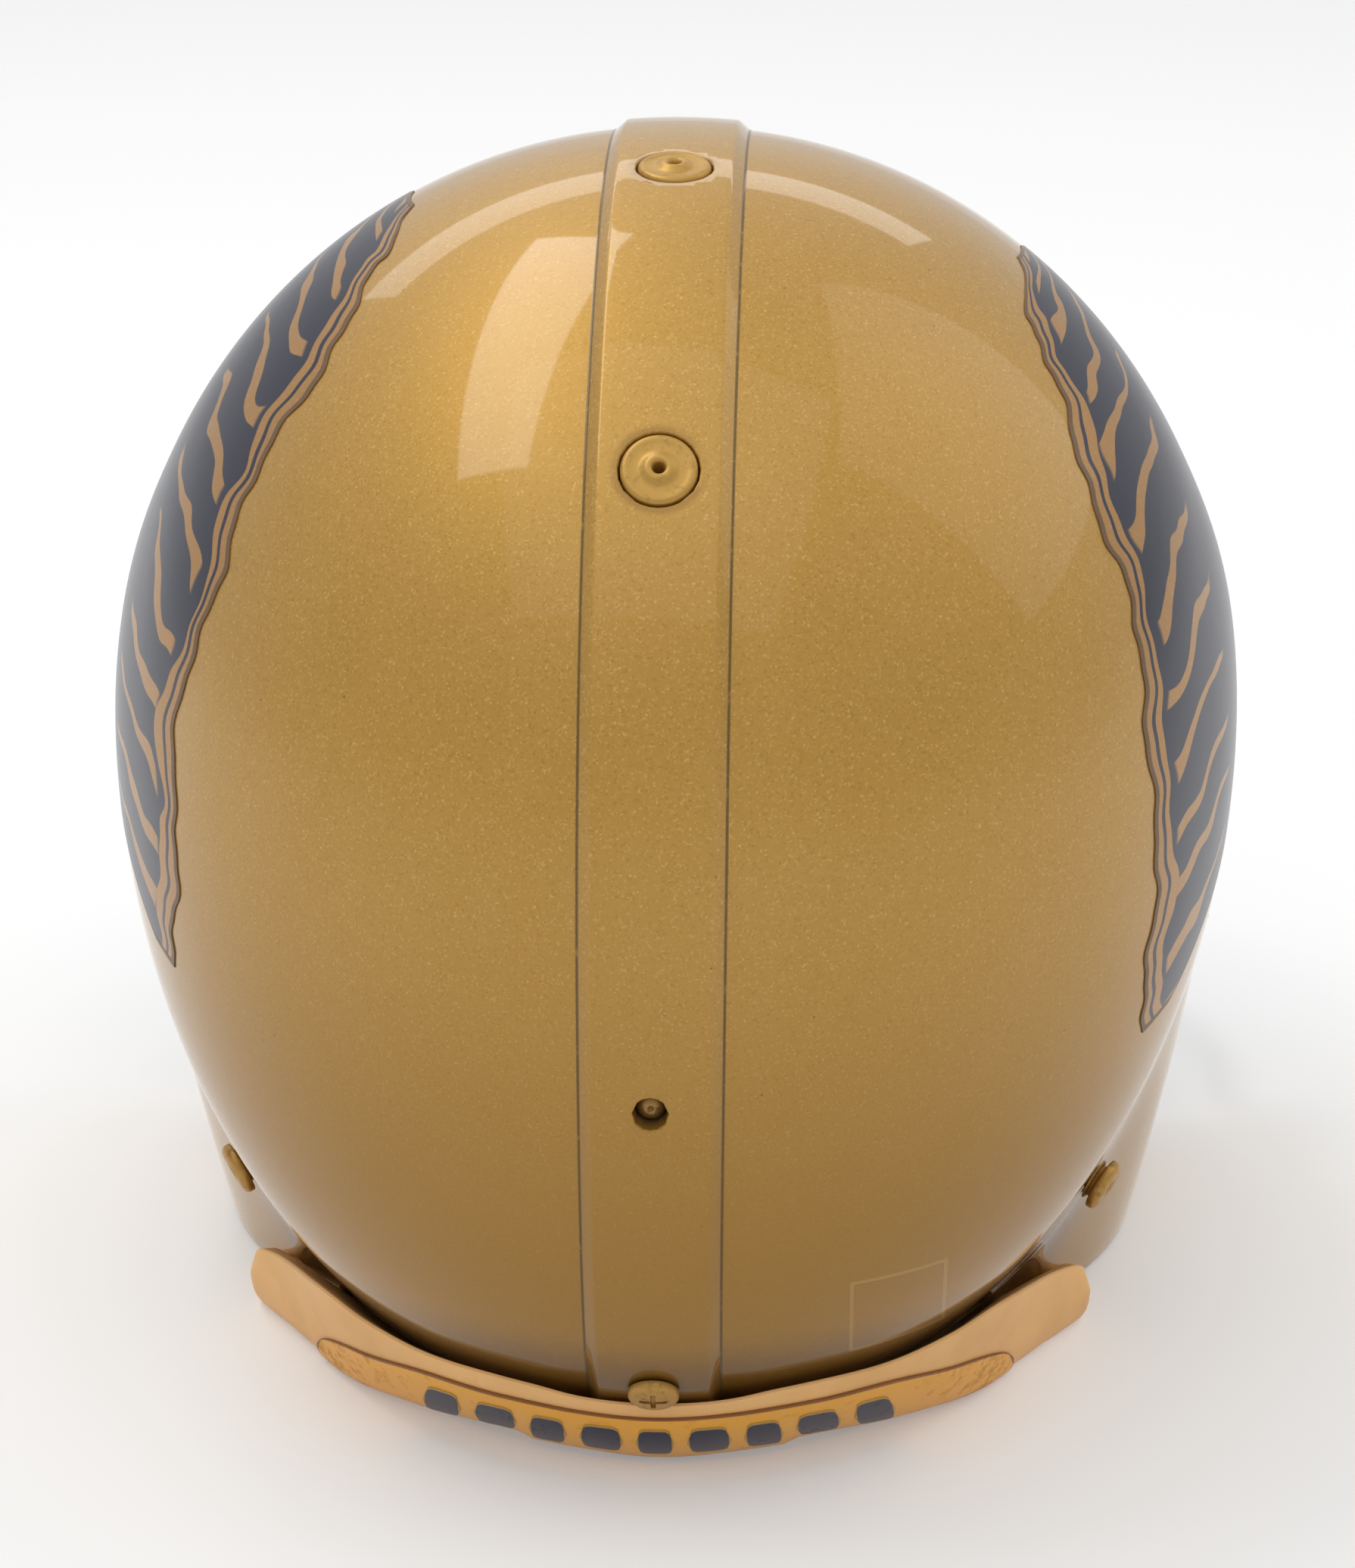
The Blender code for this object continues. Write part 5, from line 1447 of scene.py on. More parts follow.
@dataclass
class StrapStud:
    """Cup button of the chin strap with an undercut neck."""

    name: str
    seat: Matrix
    radius: float = 0.0055
    neck: float = 0.0036
    height: float = 0.0042
    rim: float = 0.0024
    shank: float = 0.0024

    def build(self) -> None:
        """Builds and dresses the stud."""
        foot = -NUT.stack(self.seat)
        r, top = self.radius, self.height
        cap = [(r - 0.0004 + 0.0004 * math.sin(t), top - self.rim + 0.0004 - 0.0004 * math.cos(t))
               for t in np.radians((0, 30, 60, 90))]
        crown = [(r * 0.72 + r * 0.28 * math.cos(t), top - self.rim * 0.55 + self.rim * 0.55 * math.sin(t))
                 for t in np.radians((0, 22, 45, 67, 90))]
        profile = [(0, foot), (self.shank, foot), (self.shank, 0.0003), (self.neck + 0.0008, 0.0003),
                   (self.neck + 0.0008, 0.0007), (self.neck, 0.0010), (self.neck, top - self.rim - 0.0004),
                   (self.neck + 0.0003, top - self.rim), *cap, *crown, (r * 0.34, top - 0.0001),
                   (r * 0.26, top - 0.0005), (0, top - 0.0006)]
        piece = Bench.smooth(Bench.lathe(f"{self.name}_cap", profile, self.seat, 56), 50)
        Bench.dress(piece, "hardware", "brass_rivet", "helmet", self.name)


# ---- bumpers


class Rise(Enum):
    """How the last number of a section's corner is taken."""

    WALL = "up the skin from the rim"
    LEVEL = "straight down from the rim"


Corner = tuple[Rise, float, float]


@dataclass
class HookBumper:
    """A rubber channel swept along the rim."""

    name: str
    front: bool
    half_span: float
    stations: int
    end_rounding: float = 0.0022

    def section(self, across: float, corners: Sequence[Corner]) -> np.ndarray:
        """Places of the corners of the section.

        Args:
            across: Distance of the station from the median plane.
            corners: Each a kind, a distance out of the skin and a rise or drop.

        Returns:
            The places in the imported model's frame.
        """
        angles = SKIN.rim_angle(np.array((across, across + 0.0005, across - 0.0005)), self.front)
        foot = SKIN.over(angles[0], across)
        out = SKIN.facing_over(angles[0], across)
        ahead = SKIN.over(angles[1], across + 0.0005) - SKIN.over(angles[2], across - 0.0005)
        up = np.cross(out, ahead / np.linalg.norm(ahead))
        up = up if up[2] > 0 else -up
        spots = []
        for kind, forth, height in corners:
            if kind is Rise.WALL:
                near = foot + up * height
                angle = math.degrees(math.atan2(near[2], near[1]))
                spot = SKIN.over(angle, near[0]) + SKIN.facing_over(angle, near[0]) * forth
            else:
                spot = foot + out * forth + up * (-height - out[2] * forth) / up[2]
            spot[2] = max(spot[2], -SKIN.widest_height)
            spots.append(spot + ORIGIN)
        return np.array(spots)

    def band_row(self, across: float, spots: np.ndarray) -> np.ndarray:
        """Places at distances out of the skin's points that lie at given heights.

        Args:
            across: Distance of the station from the median plane.
            spots: Pairs of a distance out and a height.

        Returns:
            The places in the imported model's frame.
        """
        angles = SKIN.level(across, spots[:, 1])
        row = SKIN.over(angles, across) + SKIN.facing_over(angles, across) * spots[:, :1]
        row[:, 2] = np.maximum(row[:, 2], -SKIN.widest_height)
        return row + ORIGIN

    def stations_across(self) -> np.ndarray:
        """Stations from one side to the other, closer at the ends."""
        evenly = np.linspace(-1, 1, self.stations)
        return self.half_span * np.sin(evenly * math.pi / 2 * 0.92) / math.sin(math.pi / 2 * 0.92)

    def near(self, across: float) -> float:
        """Gap of the outer wall to the skin, wider over the ridge."""
        return 0.0003 + SKIN.ridge_lift * float(smooth_step((0.0153 - abs(across)) / 0.0012))

    def row(self, across: float) -> np.ndarray:
        """Places round the section at a station."""
        raise NotImplementedError

    def drawn_in(self, across: float) -> np.ndarray:
        """The section at a station, drawn in near the ends."""
        row = self.row(across)
        past = (abs(across) - self.half_span + self.end_rounding) / self.end_rounding
        if past > 0:
            middle = row.mean(axis=0)
            row = middle + (row - middle) * (0.78 + 0.22 * math.sqrt(max(1 - past * past, 0)))
            row[:, 2] = np.maximum(row[:, 2], 0)
        return row

    def body(self, rounding: float) -> Piece:
        """Sweeps the section and rounds its edges."""
        rows = np.array([self.drawn_in(float(across)) for across in self.stations_across()])
        piece = Bench.sheet(f"{self.name}_rubber", rows, wrap=True, closed=True)
        Bench.rounded(piece, rounding, 3, 24)
        return Bench.smooth(piece, 45)


@dataclass
class RearBumper(HookBumper):
    """Rear bumper: a soft band that stands off the nape, with a prow, an inner tab and a printed label.

    Each row of the band gives in millimetres the distance across, the distance out and the height of the
    upper edge, the same of the line over the label, and the distance out of the belly. The foot's points are
    shares of the belly's distance out, and heights.
    """

    name: str = "rear_bumper"
    front: bool = False
    half_span: float = 0.0795
    stations: int = 115
    band: tuple[tuple[float, ...], ...] = (
        (0, 2.4, -97.8, 4.1, -100.0, 6.0), (15, 2.3, -96.9, 4.1, -98.9, 5.6), (22, 1.8, -96.2, 4.1, -98.2, 5.8),
        (30, 1.8, -95.4, 4.3, -97.6, 6.4),
        (46, 2.1, -95.0, 5.0, -98.0, 10.0), (56, 2.4, -93.5, 7.6, -100.5, 12.9), (66, 3.0, -92.5, 10.6, -104.5, 12.6),
        (73, 5.2, -96.8, 10.4, -104.5, 12.0), (80, 8.0, -101.4, 10.6, -105.0, 11.5))
    belly: float = -109.5
    foot: tuple[Pair, ...] = ((0.93, -116.5), (0.72, -120.5))
    hook_half_span: float = 0.0655
    prow_half_span: float = 0.0245
    prow: float = 0.8
    inner_wall: float = 0.0026
    inner_rise: float = 0.010
    tab_half_width: float = 0.0085
    tab_shoulder: float = 0.012
    tab_rise: float = 0.0425
    clearance: float = 0.0007
    end_rounding: float = 0.0018
    label_half_span: float = 0.0625
    label_lift: float = 0.00030
    bars_each_side: int = 4
    bar_pitch: float = 0.0098
    bar_half_width: float = 0.0034
    bar_half_height: float = 0.25

    def line(self, across: float, steps: int = 4) -> tuple[np.ndarray, float, float]:
        """Outer line of the section.

        Args:
            across: Distance of the station from the median plane.
            steps: Points of the line from one corner to the next.

        Returns:
            The line from the upper edge to the foot as distances out and heights, and the upper edge's two.
        """
        rows = np.array(self.band)
        rows = smooth_path(np.vstack((rows[1] * (-1, 1, 1, 1, 1, 1), rows)), 8)
        edge, edge_z, seam, seam_z, belly = (
            float(np.interp(abs(across) * 1000, rows[:, 0], rows[:, k])) for k in range(1, 6))
        edge = max(edge, self.near(across) * 1000 + 0.15)
        prow = self.prow * float(smooth_step((self.prow_half_span + 0.0006 - abs(across)) / 0.0012))
        corners = ((edge + 0.9, edge_z + 0.15), (seam, seam_z),
                   ((seam + belly + prow) / 2 + 0.35, (seam_z + self.belly) / 2), (belly + prow, self.belly),
                   *((belly * share + prow, height) for share, height in self.foot))
        return smooth_path(np.array(corners), steps) / 1000, edge / 1000, edge_z / 1000

    def row(self, across: float) -> np.ndarray:
        """Places round the section: soft outer wall, slot for the rim, thin inner wall."""
        near = self.near(across)
        hook = 1 - float(smooth_step((abs(across) - self.hook_half_span) / 0.0015))
        inner = near - (SKIN.wall + self.clearance + near) * hook
        innermost = inner - 0.0002 - self.inner_wall * hook
        tab = 1 - float(smooth_step((abs(across) - self.tab_half_width) / (self.tab_shoulder - self.tab_half_width)))
        rise = self.inner_rise * (0.3 + 0.7 * hook) + (self.tab_rise - self.inner_rise) * tab
        foot = SKIN.over(SKIN.rim_angle(across, False)[0], across)
        wall, edge, edge_z = self.line(across)
        back = np.array(((near, -0.113), (max(near, edge * 0.6), -0.104), (edge, edge_z - 0.0003),
                         (edge + 0.0003, edge_z + 0.0001)))
        slot = self.section(across, (
            (Rise.LEVEL, min(near, near - (SKIN.wall * 0.8 + near) * hook), float(foot[2]) + SKIN.widest_height),
            (Rise.LEVEL, innermost, self.clearance),
            *((Rise.WALL, innermost, rise * part / 3) for part in (1, 2, 3)),
            *((Rise.WALL, inner, rise * part / 3) for part in (3, 2, 1)),
            (Rise.LEVEL, inner, self.clearance), (Rise.LEVEL, near, self.clearance)))
        return np.vstack((self.band_row(across, wall), slot, self.band_row(across, back)))

    def face(self, across: np.ndarray, share: np.ndarray, lift: float) -> np.ndarray:
        """Points on the outer wall between its lower bend and the line over the label.

        Args:
            across: Stations.
            share: 0 at the lower bend, 1 at the line, one row for each station.
            lift: Height over the wall.

        Returns:
            The places, one row for each station.
        """
        rows = []
        for x, shares in zip(across, share):
            wall = self.line(float(x), 8)[0][8:33]
            lean = np.gradient(wall, axis=0)
            lean /= np.linalg.norm(lean, axis=1, keepdims=True)
            lifted = wall + np.stack((-lean[:, 1], lean[:, 0]), axis=1) * lift
            at = (1 - np.clip(shares, 0, 1)) * (len(wall) - 1)
            spots = np.stack([np.interp(at, np.arange(len(wall)), lifted[:, k]) for k in range(2)], axis=1)
            row = self.band_row(float(x), spots)
            row[:, 2] = np.maximum(row[:, 2], lift)
            rows.append(row)
        return np.array(rows)

    def printed(self, name: str, rows: np.ndarray, edge: np.ndarray, across: Any, thick: float) -> Piece:
        """A thin printed piece whose mesh carries its distances in millimetres.

        Args:
            name: Name of the piece.
            rows: Places of its points.
            edge: Distance of each point from the piece's edge.
            across: Distance of each point from the label's middle.
            thick: Thickness of the piece.

        Returns:
            The piece.
        """
        piece = Bench.sheet(name, rows)
        Bench.carry(piece, "edge", edge)
        Bench.carry(piece, "across", np.broadcast_to(across, edge.shape))
        return Bench.modifier(piece, "SOLIDIFY", thickness=thick, offset=0)

    def label(self) -> None:
        """Builds the printed label: a gold field and a row of plain navy lozenges."""
        across = self.label_half_span * np.sin(np.linspace(-1, 1, 121) * 1.508) / math.sin(1.508)
        ends = (1 - np.abs(across / self.label_half_span) ** 30) ** (1 / 2.4)
        spread = np.linspace(-1, 1, 17)
        share = 0.53 + 0.45 * spread[None] * ends[:, None]
        edge = np.minimum((1 - np.abs(spread))[None] * ends[:, None] * 8.2,
                          (self.label_half_span - np.abs(across))[:, None] * 1000)
        rows = self.face(across, share, self.label_lift)
        strip = self.printed("bumper_label", rows, edge, across[:, None] * 1000, 0.0005)
        Bench.dress(Bench.smooth(strip, 50), "label", "tan_rubber", "helmet")
        bars = []
        xs, ups = np.linspace(-1, 1, 11), np.linspace(-1, 1, 9)
        tall = self.bar_half_height * (1 - np.abs(xs) ** 6) ** 0.5 + 0.012
        for number in range(-self.bars_each_side, self.bars_each_side + 1):
            half = self.bar_half_width + 0.0005 * (number % 2)
            share = 0.56 + tall[:, None] * ups[None]
            rows = self.face(number * self.bar_pitch + xs * half, share, self.label_lift + 0.0003)
            edge = np.minimum((1 - np.abs(ups))[None] * tall[:, None] * 14, (1 - np.abs(xs))[:, None] * half * 1000)
            bars.append(self.printed(f"label_bar_{number + self.bars_each_side}", rows, edge, 0.0, 0.0003))
        Bench.dress(Bench.smooth(Bench.join("label_bars", bars), 50), "print", "tan_rubber", "helmet")

    def build(self) -> None:
        """Builds and dresses the bumper and its label."""
        Bench.dress(self.body(0.0009), "rubber", "tan_rubber", "helmet", "rear_bumper")
        self.label()


@dataclass
class BrowBumper(HookBumper):
    """Thin bumper over the brow edge."""

    name: str = "front_bumper"
    front: bool = True
    half_span: float = 0.030
    stations: int = 61
    rise: float = 0.017
    thickness: float = 0.0042
    lip: float = 0.0028
    inner_wall: float = 0.0022
    clearance: float = 0.0007
    turn: float = 0.0006

    def row(self, across: float) -> np.ndarray:
        """Places round the section: outer wall, lip under the rim with a small turn up."""
        thick = self.thickness
        inner = -(SKIN.wall + self.clearance)
        innermost = inner - self.inner_wall
        near = self.near(across) + 0.0003
        return self.section(across, (
            (Rise.WALL, near, self.rise), (Rise.WALL, max(near + 0.0003, thick * 0.55), self.rise),
            (Rise.WALL, thick, self.rise - thick * 0.6), (Rise.WALL, thick, 0.0003),
            (Rise.LEVEL, thick * 0.6, self.lip), (Rise.LEVEL, innermost + self.inner_wall / 2, self.lip),
            (Rise.LEVEL, innermost, 0.0003), (Rise.LEVEL, inner, -self.turn), (Rise.LEVEL, inner, self.clearance),
            (Rise.LEVEL, near, self.clearance), (Rise.WALL, near, self.rise / 2)))

    def build(self) -> None:
        """Builds and dresses the bumper."""
        Bench.dress(self.body(0.0008), "rubber", "tan_rubber", "helmet", "front_bumper")


# ---- side films


@dataclass
class SideFilm:
    """A thin printed film on one side of the shell, with plain bars."""

    side: int
    trailing: tuple[Pair, ...] = (
        (0.103, 0.012), (0.098, 0.036), (0.090, 0.050), (0.078, 0.061), (0.062, 0.070), (0.045, 0.0755),
        (0.025, 0.078), (0.0, 0.079), (-0.020, 0.077), (-0.036, 0.073))
    leading: tuple[Pair, ...] = (
        (0.101, -0.006), (0.093, -0.034), (0.082, -0.054), (0.066, -0.068), (0.048, -0.074), (0.030, -0.066),
        (0.014, -0.040), (0.0, -0.006), (-0.016, 0.030), (-0.034, 0.062))
    rows: int = 150
    columns: int = 90
    left_raise: float = 0.0085
    right_raise: float = -0.001
    lift: float = 0.00012
    thickness: float = 0.00024

    def edge(self, corners: Sequence[Pair], at: np.ndarray) -> np.ndarray:
        """Points at these shares of the smooth line through the corners, at this film's height."""
        line = smooth_path(np.array(corners), 12)
        points = np.stack([np.interp(at, np.linspace(0, 1, len(line)), line[:, k]) for k in range(2)], axis=1)
        points[:, 0] += self.left_raise if self.side > 0 else self.right_raise
        return points

    def build(self) -> None:
        """Builds and dresses the film."""
        word = "left" if self.side > 0 else "right"
        at = np.linspace(0, 1, self.rows)
        trail, lead = self.edge(self.trailing, at), self.edge(self.leading, at)
        trail[:, 1] += 0.0015 * np.sin(at * 23 + self.side) + 0.0008 * np.sin(at * 57 + 2) + 0.0003 * np.sin(at * 131)
        share = np.linspace(0, 1, self.columns)[None, :, None]
        flat = lead[:, None] * (1 - share) + trail[:, None] * share
        back, height = flat[..., 1], flat[..., 0]
        out = SKIN.facing_beside(back, height, self.side)
        spots = SKIN.beside(back, height, self.side) + out * self.lift + ORIGIN
        film = Bench.sheet(f"side_film_{word}", spots)
        along = np.broadcast_to(share[..., 0], back.shape)
        up = np.broadcast_to(1 - at[:, None], back.shape)
        length = np.linalg.norm(trail - lead, axis=1)[:, None]
        edge = np.minimum(np.minimum(along, 1 - along) * length, np.minimum(up, 1 - up) * 0.15) * 1000
        run = np.concatenate(((0,), np.cumsum(np.linalg.norm(np.diff(trail, axis=0), axis=1))))
        Bench.carry(film, "gap", (1 - along) * length * 1000)
        Bench.carry(film, "tall", np.broadcast_to(run[:, None] * 1000, back.shape))
        Bench.carry(film, "edge", edge)
        Bench.tidy(film, 1e-5)
        if (film.data.polygons[len(film.data.polygons) // 2].normal.x > 0) != (self.side > 0):
            Bench.pick(film)
            bpy.ops.object.mode_set(mode="EDIT")
            bpy.ops.mesh.select_all(action="SELECT")
            bpy.ops.mesh.flip_normals()
            bpy.ops.object.mode_set(mode="OBJECT")
        Bench.modifier(film, "SOLIDIFY", thickness=self.thickness, offset=0)
        Bench.smooth(film, 50)
        Bench.dress(film, "film", "shell_gold", "helmet")


# ---- guard and clips


@dataclass
class FaceGuard:
    """The wires of the face guard, welded at their joints and dipped in one coat."""

    bars: tuple[str, ...] = (
        "guard_chin_bar", "guard_mouth_bar", "guard_brow_bar", "guard_centre_post_left",
        "guard_centre_post_right", "guard_side_post_left", "guard_side_post_right")
    bead: float = 0.0036
    voxel: float = 0.0009
    post_tip: float = 0.004
    bar_tip: float = 0.002

    def welds(self) -> list[Vector]:
        """The places where two wires meet.

        Returns:
            Both ends of every post, the rear ends of the mouth bar and the low ends of the brow bar.
        """
        spots = []
        for post in self.bars[3:]:
            points = Bench.points(NODES[post])
            for level in (points[:, 2].min(), points[:, 2].max()):
                ring = points[np.abs(points[:, 2] - level) < self.post_tip].mean(axis=0)
                spots.append(Vector((float(ring[0]), float(ring[1]), level)))
        for bar in ("guard_mouth_bar", "guard_brow_bar"):
            points = Bench.points(NODES[bar])
            for side in (-1, 1):
                far = points[points[:, 0] * side > 0]
                reach = far[:, 1] if bar == "guard_mouth_bar" else -far[:, 2]
                spots.append(Vector(far[reach > reach.max() - self.bar_tip].mean(axis=0).tolist()))
        return spots

    def build(self) -> None:
        """Builds and dresses the wires as one coated piece."""
        wires = [Bench.copy_node(bar, f"{bar}_wire") for bar in self.bars]
        for spot in self.welds():
            Bench.clear()
            bpy.ops.mesh.primitive_uv_sphere_add(segments=20, ring_count=12, radius=self.bead, location=spot)
            wires.append(Bench.settle(Bench.named("weld_bead"), bpy.context.object.matrix_world.copy()))
        guard = Bench.join("guard_wires", wires)
        Bench.modifier(guard, "REMESH", mode="VOXEL", voxel_size=self.voxel, adaptivity=0)
        Bench.modifier(guard, "SMOOTH", factor=0.5, iterations=6)
        Bench.smooth(guard, 80)
        Bench.dress(guard, "wire", "guard_coat", "helmet", *self.bars)


@dataclass
class GuardClip:
    """A clear strap folded round a wire, with rounded edges."""

    name: str
    rounding: float = 0.0004

    def build(self) -> None:
        """Builds and dresses the clip."""
        piece = Bench.copy_node(self.name, f"{self.name}_strap")
        Bench.smooth(Bench.rounded(piece, self.rounding, 2, 50), 35)
        Bench.dress(piece, "strap", "clear_strap", "helmet", self.name)


# ---- pads


class Patch(Enum):
    """Which way a pad is laid on the wall."""

    OVER = "over"
    SIDE = "side"
    JAW = "jaw"


@dataclass
class Pad:
    """A soft pad, blown up by pressure and kept within its place on the wall."""

    name: str
    patch: Patch
    centre: Pair
    half: Pair
    thickness: float
    finish: str
    slot: str
    body: str = "helmet"
    side: int = 1
    clearance: float = 0.0006
    tilt: float = 0.0
    channels: tuple[Pair, ...] = ()
    channel_depth: float = 0.0045
    channel_width: float = 0.0045
    voxel: float = 0.0045
    cap: float = 0.006
    shrink: float = 0.0016
    fill: float = 0.7
    points_round: int = 56
    outer_reach: float = 0.125
    inner_reach: float = 0.11

    def place(self, u: np.ndarray, v: np.ndarray, lower: np.ndarray) -> np.ndarray:
        """Points of the pad from two coordinates in -1..1 and a depth under its back."""
        back = SKIN.wall + self.clearance
        if self.patch is Patch.OVER:
            return SKIN.over(self.centre[1] + v * self.half[1], self.centre[0] + u * self.half[0], back + lower)
        along = self.centre[0] + u * self.half[0]
        height = self.centre[1] + u * self.tilt + v * self.half[1]
        if self.patch is Patch.SIDE:
            return SKIN.beside(along, height, self.side, back + lower)
        spots = SKIN.beside(along, height, self.side, back + 0 * lower)
        spots[..., 0] -= self.side * lower
        return spots

    def shares(self, points: np.ndarray) -> tuple[np.ndarray, np.ndarray, np.ndarray]:
        """The two coordinates and the depth under the back of points.

        Args:
            points: Points from the middle of the width axis.

        Returns:
            The first and the second coordinate and the depth.
        """
        back = SKIN.wall + self.clearance
        if self.patch is Patch.OVER:
            angle = np.degrees(np.arctan2(points[:, 2], points[:, 1]))
            angle = np.where(angle < -100, angle + 360, angle)
            wall = SKIN.over(angle, points[:, 0], back)
            depth = np.hypot(wall[:, 1], wall[:, 2]) - np.hypot(points[:, 1], points[:, 2])
            return (points[:, 0] - self.centre[0]) / self.half[0], (angle - self.centre[1]) / self.half[1], depth
        wall = SKIN.beside(points[:, 1], points[:, 2], self.side, back)
        depth = (wall[:, 0] - points[:, 0]) * self.side
        u = (points[:, 1] - self.centre[0]) / self.half[0]
        return u, (points[:, 2] - self.centre[1] - u * self.tilt) / self.half[1], depth

    def lengths(self, reach: float) -> Pair:
        """Half lengths of the pad, with an angle taken at this reach."""
        return self.half[0], self.half[1] * (reach * math.pi / 180 if self.patch is Patch.OVER else 1)

    def start(self) -> Piece:
        """Makes the form that is blown up.

        Returns:
            A closed form a little smaller than the pad, with square corners.
        """
        edge = self.thickness * 0.26
        deep = self.thickness - 0.003
        layers = ((0.02, 0.0005), (0.35, 0.0004), (0.7, 0.0005), (0.93, 0.0009), (1.0, edge), (1.0, deep - edge),
                  (0.93, deep - edge * 0.3), (0.66, deep), (0.33, deep + 0.0005), (0.02, deep + 0.0006))
        count = self.points_round
        turn = 2 * np.pi * (np.arange(count) + 0.5) / count
        around, ahead = (np.sign(wave) * np.abs(wave) ** 0.5 for wave in (np.cos(turn), np.sin(turn)))
        trims = [1 - self.shrink / size for size in self.lengths(self.outer_reach)]
        rows = [self.place(around * scale * trims[0], ahead * scale * trims[1], np.full(count, low))
                for scale, low in layers]
        return Bench.sheet(f"{self.name}_cushion", np.array(rows) + ORIGIN, wrap=True, closed=True)

    def blow(self, piece: Piece) -> None:
        """Swells the pad by cloth pressure and caps how far each point moves."""
        before = Bench.points(piece)
        cloth = piece.modifiers.new("air", "CLOTH")
        cloth.settings.use_pressure = True
        cloth.settings.uniform_pressure_force = 4
        cloth.settings.effector_weights.gravity = 0
        cloth.settings.quality = 4
        cloth.settings.tension_stiffness = 25
        cloth.settings.compression_stiffness = 25
        scene = bpy.context.scene
        for frame in range(1, 21):
            scene.frame_set(frame)
        Bench.pick(piece)
        bpy.ops.object.modifier_apply(modifier=cloth.name)
        scene.frame_set(1)
        move = Bench.points(piece) - before
        far = np.linalg.norm(move, axis=1, keepdims=True)
        Bench.place(piece, before + move * np.minimum(1, self.cap / np.maximum(far, 1e-9)))

    def fit(self, piece: Piece, seams: bool) -> None:
        """Keeps the pad off the wall and within its thickness, and presses its channels in.

        Args:
            piece: The pad.
            seams: Whether the channels are pressed in.
        """
        points = Bench.points(piece) - ORIGIN
        u, v, depth = self.shares(points)
        aim = np.clip(depth, 0.0003, self.thickness)
        crease = np.zeros(len(points))
        if seams:
            scale = self.lengths(self.inner_reach)
            for axis, at in self.channels:
                off = np.abs((u, v)[int(axis)] - at) * scale[int(axis)]
                crease = np.maximum(crease, 1 - smooth_step(off / self.channel_width))
            aim = aim - crease * self.channel_depth * smooth_step((depth / self.thickness - 0.45) / 0.4)
        shift = (depth - aim)[:, None]
        if self.patch is Patch.OVER:
            out = points * (0, 1, 1)
            points = points + out / np.linalg.norm(out, axis=1, keepdims=True) * shift
        else:
            points = points + np.array((self.side, 0, 0)) * shift
        Bench.place(piece, points + ORIGIN)
        if seams:
            # The seam number places the painted shade in the pad's channels.
            Bench.carry(piece, "seam", crease**3)

    def build(self) -> None:
        """Builds and dresses the pad."""
        piece = self.start()
        Bench.modifier(piece, "REMESH", mode="VOXEL", voxel_size=self.voxel, adaptivity=0)
        self.blow(piece)
        self.fit(piece, False)
        Bench.modifier(piece, "SUBSURF", levels=1, render_levels=1)
        if self.channels:
            Bench.modifier(piece, "SUBSURF", levels=1, render_levels=1)
        self.fit(piece, True)
        Bench.modifier(piece, "SMOOTH", factor=0.4, iterations=2)
        Bench.smooth(piece, 80)
        Bench.dress(piece, self.finish, self.slot, self.body, self.name)


@dataclass
class Liner:
    """All the pads inside the shell."""

    thickness: float = 0.025
    front_thickness: float = 0.023
    neck_thickness: float = 0.013
    jaw_thickness: float = 0.020

    def pads(self) -> list[Pad]:
        """The pads and their places."""
        rim = float(SKIN.rim_angle(0.0, False)[0])
        edge = float(np.linalg.norm(SKIN.over(rim, 0.0)))
        neck = [rim + math.degrees(rise / edge) for rise in (0.0245, 0.0677)]
        low = rim + math.degrees(0.0829 / edge)
        grid = ((0, -0.34), (0, 0.34), (1, 0.0))
        found = [
            Pad("crown_liner", Patch.OVER, (0, 90), (0.060, 27), self.thickness, "liner", "liner_vinyl",
                channels=((0, -0.36), (0, 0.36), (1, -0.33), (1, 0.33))),
            Pad("back_liner", Patch.OVER, (0, (low + 56) / 2), (0.076, (56 - low) / 2), self.thickness, "liner",
                "liner_vinyl", channels=((0, -0.5), (0, 0.0), (0, 0.5), (1, -0.33), (1, 0.33))),
            Pad("front_pad", Patch.OVER, (0, 135.5), (0.064, 13.5), self.front_thickness, "front", "front_vinyl",
                channels=((0, -0.45), (0, 0.45))),
        ]
        for side, word in ((1, "left"), (-1, "right")):
            found.append(Pad(f"neck_pad_{word}", Patch.OVER, (side * 0.037, sum(neck) / 2),
                             (0.023, (neck[1] - neck[0]) / 2), self.neck_thickness, "liner", "liner_vinyl",
                             clearance=0.0009, voxel=0.0035, cap=0.004, shrink=0.0010))
            found.append(Pad(f"side_liner_{word}", Patch.SIDE, (-0.001, 0.032), (0.047, 0.038), self.thickness,
                             "liner", "liner_vinyl", side=side, channels=grid))
            found.append(Pad(f"jaw_pad_{word}", Patch.JAW, (-0.0175, -0.675 * SKIN.widest_height), (0.0585, 0.029),
                             self.jaw_thickness, "jaw", "jaw_vinyl", body=f"jaw_pad_{word}", side=side,
                             clearance=0.0032, tilt=0.007, channels=((0, -0.30), (0, 0.36)), channel_depth=0.003))
        return found

    def build(self) -> None:
        """Builds all the pads."""
        for pad in self.pads():
            pad.build()


# ---- hardware


